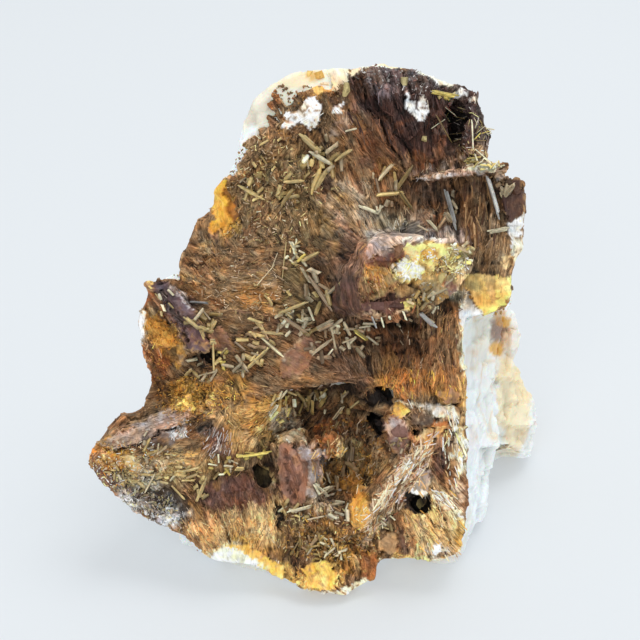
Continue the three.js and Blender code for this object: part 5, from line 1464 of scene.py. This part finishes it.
def shade_below(crust, feet):
    """Paints shade on the crust where crystals stand on it, darkest close to them."""
    tree = KDTree(len(feet))
    for number, foot in enumerate(feet):
        tree.insert(foot, number)
    tree.balance()
    near = np.array([tree.find(v.co)[2] for v in crust.data.vertices])
    layer = crust.data.color_attributes["Tint"].data
    tint = np.empty(len(near) * 4)
    layer.foreach_get("color", tint)
    tint = tint.reshape(-1, 4)
    tint[:, :3] *= (1 - 0.55 * np.clip(1.5 - near / 0.8, 0, 1))[:, None]
    layer.foreach_set("color", tint.ravel())


# ---------------------------------------------------------------- materials

class Wire:
    """A socket's value in a material. Sums and products of wires add their Math nodes."""

    def __init__(self, finish, socket):
        self.finish = finish
        self.socket = socket

    def _with(self, operation, *others):
        return self.finish.node("ShaderNodeMath", {"operation": operation}, dict(enumerate((self, *others))))

    def __add__(self, other):
        return self._with("ADD", other)

    __radd__ = __add__

    def __mul__(self, other):
        return self._with("MULTIPLY", other)

    __rmul__ = __mul__

    def __sub__(self, other):
        return self._with("SUBTRACT", other)

    def __rsub__(self, other):
        return (self * -1) + other

    def clamped(self):
        return self._with("MAXIMUM", 0)._with("MINIMUM", 1)


class Finish:
    """A material, with the nodes that give it its looks."""

    def __init__(self, name, **shader):
        self.material = bpy.data.materials.new(name)
        self.material.use_nodes = True
        self.tree = self.material.node_tree
        self.shader = self.tree.nodes["Principled BSDF"]
        self.set(self.shader, shader)

    def set(self, node, values):
        """Gives a node's sockets their values or links."""
        for key, value in values.items():
            socket = node.inputs[key.replace("_", " ") if isinstance(key, str) else key]
            if isinstance(value, Wire):
                self.tree.links.new(value.socket, socket)
            else:
                socket.default_value = value

    def node(self, kind, settings=None, values=None, output=0):
        """The output of a new node of a kind, with its settings and the values or links of its sockets."""
        node = self.tree.nodes.new(kind)
        for key, value in (settings or {}).items():
            setattr(node, key, value)
        self.set(node, values or {})
        return Wire(self, node.outputs[output])

    def place(self):
        return self.node("ShaderNodeTexCoord", output="Object")

    def attribute(self, name, output):
        return self.node("ShaderNodeAttribute", {"attribute_name": name}, output=output)

    def stretched(self, vector, factors):
        """Places or colours times a number for each axis or channel."""
        return self.node("ShaderNodeVectorMath", {"operation": "MULTIPLY"}, {0: vector, 1: factors})

    def brighter(self, vector, factors, more):
        """The same, with a little more added."""
        return self.node("ShaderNodeVectorMath", {"operation": "MULTIPLY_ADD"}, {0: vector, 1: factors, 2: more})

    def noise(self, scale, detail=4, roughness=0.6, place=None):
        values = {"Scale": scale, "Detail": detail, "Roughness": roughness, "Vector": place or self.place()}
        return self.node("ShaderNodeTexNoise", {}, values)

    def mixed(self, a, b, share):
        """One colour turning into another as the share goes from 0 to 1."""
        return self.node("ShaderNodeMix", {"data_type": "RGBA"}, {0: share, 6: a, 7: b}, output=2)

    def shaded(self, tint, amount):
        """A colour made lighter and darker by a wire around 1."""
        return self.node("ShaderNodeVectorMath", {"operation": "SCALE"}, {0: tint, "Scale": amount})

    def bump(self, height, distance, strength=1.0):
        values = {"Height": height, "Distance": distance, "Strength": strength}
        return self.node("ShaderNodeBump", {}, values)

    def finish(self, **wires):
        self.set(self.shader, wires)
        return self.material


def limonite():
    m = Finish("silky_limonite", Specular_IOR_Level=0.3)
    grain = m.attribute("Grain", "Vector")
    fibrous = m.attribute("Tint", "Alpha")
    own = m.attribute("Tint", "Color")
    strands = m.noise(1, detail=3, place=m.stretched(grain, (0.16, 1.7, 1)))
    hairs = m.noise(1, detail=3, place=m.stretched(grain, (0.4, 3.6, 1)))
    mottle = m.noise(600, detail=4)
    grit = m.noise(1800)
    # Painted shade darkens where the fibres part and painted highlights brighten the gleams along them; both also
    # shape the bump, and the gleams are smoother.
    gap_shade = ((0.49 - hairs) * 6 + (0.5 - strands) * 6).clamped() * (0.1 + 0.85 * fibrous)
    gleams = ((hairs - 0.52) * 6 + (strands - 0.5) * 6).clamped() * (0.1 + 0.72 * fibrous)
    flecks = ((grit - 0.55) * 8).clamped() * 0.4
    tint = m.shaded(own, 0.55 + 0.9 * mottle)
    tint = m.mixed(tint, m.stretched(own, (0.3, 0.25, 0.2)), gap_shade)
    tint = m.mixed(tint, m.brighter(own, (1.7, 1.65, 1.6), (0.04, 0.035, 0.03)), gleams)
    tint = m.mixed(tint, m.brighter(own, (1.2, 1.2, 1.2), (0.08, 0.07, 0.05)), flecks)
    height = 0.5 + (gleams - gap_shade) * 0.5 + 0.3 * grit + 0.3 * mottle
    return m.finish(Base_Color=tint, Roughness=0.66 - 0.24 * gleams, Normal=m.bump(height, 0.00035, 1))


def fibre_silk():
    m = Finish("limonite_fibre", Specular_IOR_Level=0.36)
    flecks = m.noise(1800) - 0.5
    return m.finish(Base_Color=m.shaded(m.attribute("Tint", "Color"), 1 + flecks), Roughness=0.5 + 0.4 * flecks)


def crumb_glaze():
    m = Finish("limonite_crumbs", Specular_IOR_Level=0.3)
    own = m.attribute("Tint", "Color")
    flecks = m.noise(1400)
    scratches = m.noise(1, detail=3, place=m.stretched(m.place(), (2600, 700, 900)))
    dark = ((0.47 - scratches) * 8).clamped() * 0.5
    light = ((flecks - 0.55) * 8).clamped() * 0.5
    tint = m.mixed(own, m.stretched(own, (0.4, 0.35, 0.3)), dark)
    tint = m.mixed(tint, m.brighter(own, (1.4, 1.4, 1.35), (0.05, 0.045, 0.04)), light)
    height = flecks + 0.6 * scratches
    return m.finish(Base_Color=tint, Roughness=0.7 - 0.3 * flecks, Normal=m.bump(height, 0.0002, 0.8))


def pyromorphite_lustre():
    m = Finish("pyromorphite", Specular_IOR_Level=0.6, Subsurface_Weight=0.12, Subsurface_Scale=0.0006)
    flecks = m.noise(1200) - 0.5
    dust = m.noise(420) - 0.5
    tint = m.shaded(m.attribute("Tint", "Color"), 1 + 1.1 * flecks + 1.3 * dust)
    return m.finish(Base_Color=tint, Roughness=0.36 + 0.5 * flecks, Normal=m.bump(flecks, 0.00018, 0.8))


def milky_quartz():
    m = Finish("milky_quartz", Subsurface_Weight=0.25, Subsurface_Scale=0.003, Specular_IOR_Level=0.5)
    sugar = m.noise(1400)
    clouds = m.noise(160)
    tint = m.shaded(m.attribute("Tint", "Color"), 0.93 + 0.14 * clouds + 0.06 * sugar)
    return m.finish(Base_Color=tint, Roughness=0.42 + 0.3 * clouds, Normal=m.bump(sugar, 0.0003, 0.5))


def floor_paper():
    m = Finish("pale_floor", Roughness=0.75, Specular_IOR_Level=0.25, Emission_Strength=0.34)
    return m.finish(Base_Color=(0.43, 0.45, 0.465, 1), Emission_Color=(0.94, 0.97, 1, 1))


# ---------------------------------------------------------------- stage

def add_camera():
    camera = bpy.data.cameras.new("camera")
    camera.sensor_width = 36
    camera.lens = 36 * VIEW_DISTANCE / (VIEW * PIXEL)
    camera.clip_start = 0.01
    camera.clip_end = 20
    holder = bpy.data.objects.new("camera", camera)
    bpy.context.scene.collection.objects.link(holder)
    eye = FACE_TO_WORLD @ EYE
    holder.matrix_world = Matrix.Translation(eye) @ TURN
    bpy.context.scene.camera = holder


# Name, place, what it aims at, size in metres and power in watts
LIGHTS = [
    ("sky", (0.2, 0.1, 0.75), (0, 0.05, 0), 0.6, 2.2), ("window", (-0.2, -0.75, 0.6), (0, 0, 0.05), 0.4, 1.65),
]
FLOOR_REACH = 1.5  # metres from the middle of the floor to its edges
AIR = (0.93, 0.97, 1, 1)  # the soft light from all round
AIR_STRENGTH = 0.8


def add_light(name, place, aim, size, power):
    light = bpy.data.lights.new(name, "AREA")
    light.shape = "DISK"
    light.size = size
    light.energy = power
    holder = bpy.data.objects.new(name, light)
    bpy.context.scene.collection.objects.link(holder)
    holder.location = place
    holder.rotation_euler = (Vector(aim) - Vector(place)).to_track_quat("-Z", "Y").to_euler()


def add_stage():
    bm = bmesh.new()
    bmesh.ops.create_grid(bm, x_segments=1, y_segments=1, size=FLOOR_REACH)
    mesh = bpy.data.meshes.new("floor")
    bm.to_mesh(mesh)
    bm.free()
    floor = new_object("floor", mesh)
    mesh.materials.append(floor_paper())
    for light in LIGHTS:
        add_light(*light)
    world = bpy.data.worlds.new("studio")
    bpy.context.scene.world = world
    world.use_nodes = True
    air = world.node_tree.nodes["Background"].inputs
    air["Color"].default_value = AIR
    air["Strength"].default_value = AIR_STRENGTH
    bpy.context.scene.view_settings.view_transform = "Standard"


# ---------------------------------------------------------------- building

add_camera()
add_stage()

quartz = quartz_matrix()
crust, bundles = limonite_crust(quartz)
tree = surface_of(crust)
whole = surface_of(crust, quartz)
sliver = sliver_stamp()
fibre_pieces = [fibre_piece(f"fibres_{n + 1}", bundles, tree, sliver, FIBRE_COUNT, seed=90 + n) for n in range(2)]
grains = crumbs("crumbs", whole, shard_stamp(3, 5, lambda co: 1 + 0.15 * co.y), seed=17)
# The blocks' stamps carry painted light and shade: lighter on top, a little darker on one side.
shards = [shard_stamp(seed, 9, lambda co: 1 + 0.3 * co.y - 0.1 * co.x) for seed in (5, 6, 7, 8)]
blocks = broken_blocks("blocks", whole, shards, seed=47)
bars = laths("laths", bundles, tree, lath_stamp(), seed=23)
habits = [prism_stamp(1, 0.94, 0.03, 1), prism_stamp(1.08, 0.8, 0.06, 2), prism_stamp(0.9, 1, 0, 3)]
crystals, feet = pyromorphite(tree, habits, seed=31)
shade_below(crust, feet)

finishes = [
    ([crust], limonite()), ([quartz], milky_quartz()), (fibre_pieces, fibre_silk()),
    ([grains, bars, *blocks], crumb_glaze()), (crystals, pyromorphite_lustre()),
]
for pieces, finish in finishes:
    for piece in pieces:
        piece.data.materials.append(finish)

finish_piece(crust, "limonite", "limonite_crust")
finish_piece(quartz, "quartz", "quartz_matrix")
for piece in (*fibre_pieces, grains, bars, *blocks):
    finish_piece(piece, "limonite")
finish_piece(crystals[0], "pyromorphite", *(f"pyromorphite_{name}" for name in CRYSTAL_NODES))
for piece in crystals[1:]:
    finish_piece(piece, "pyromorphite")
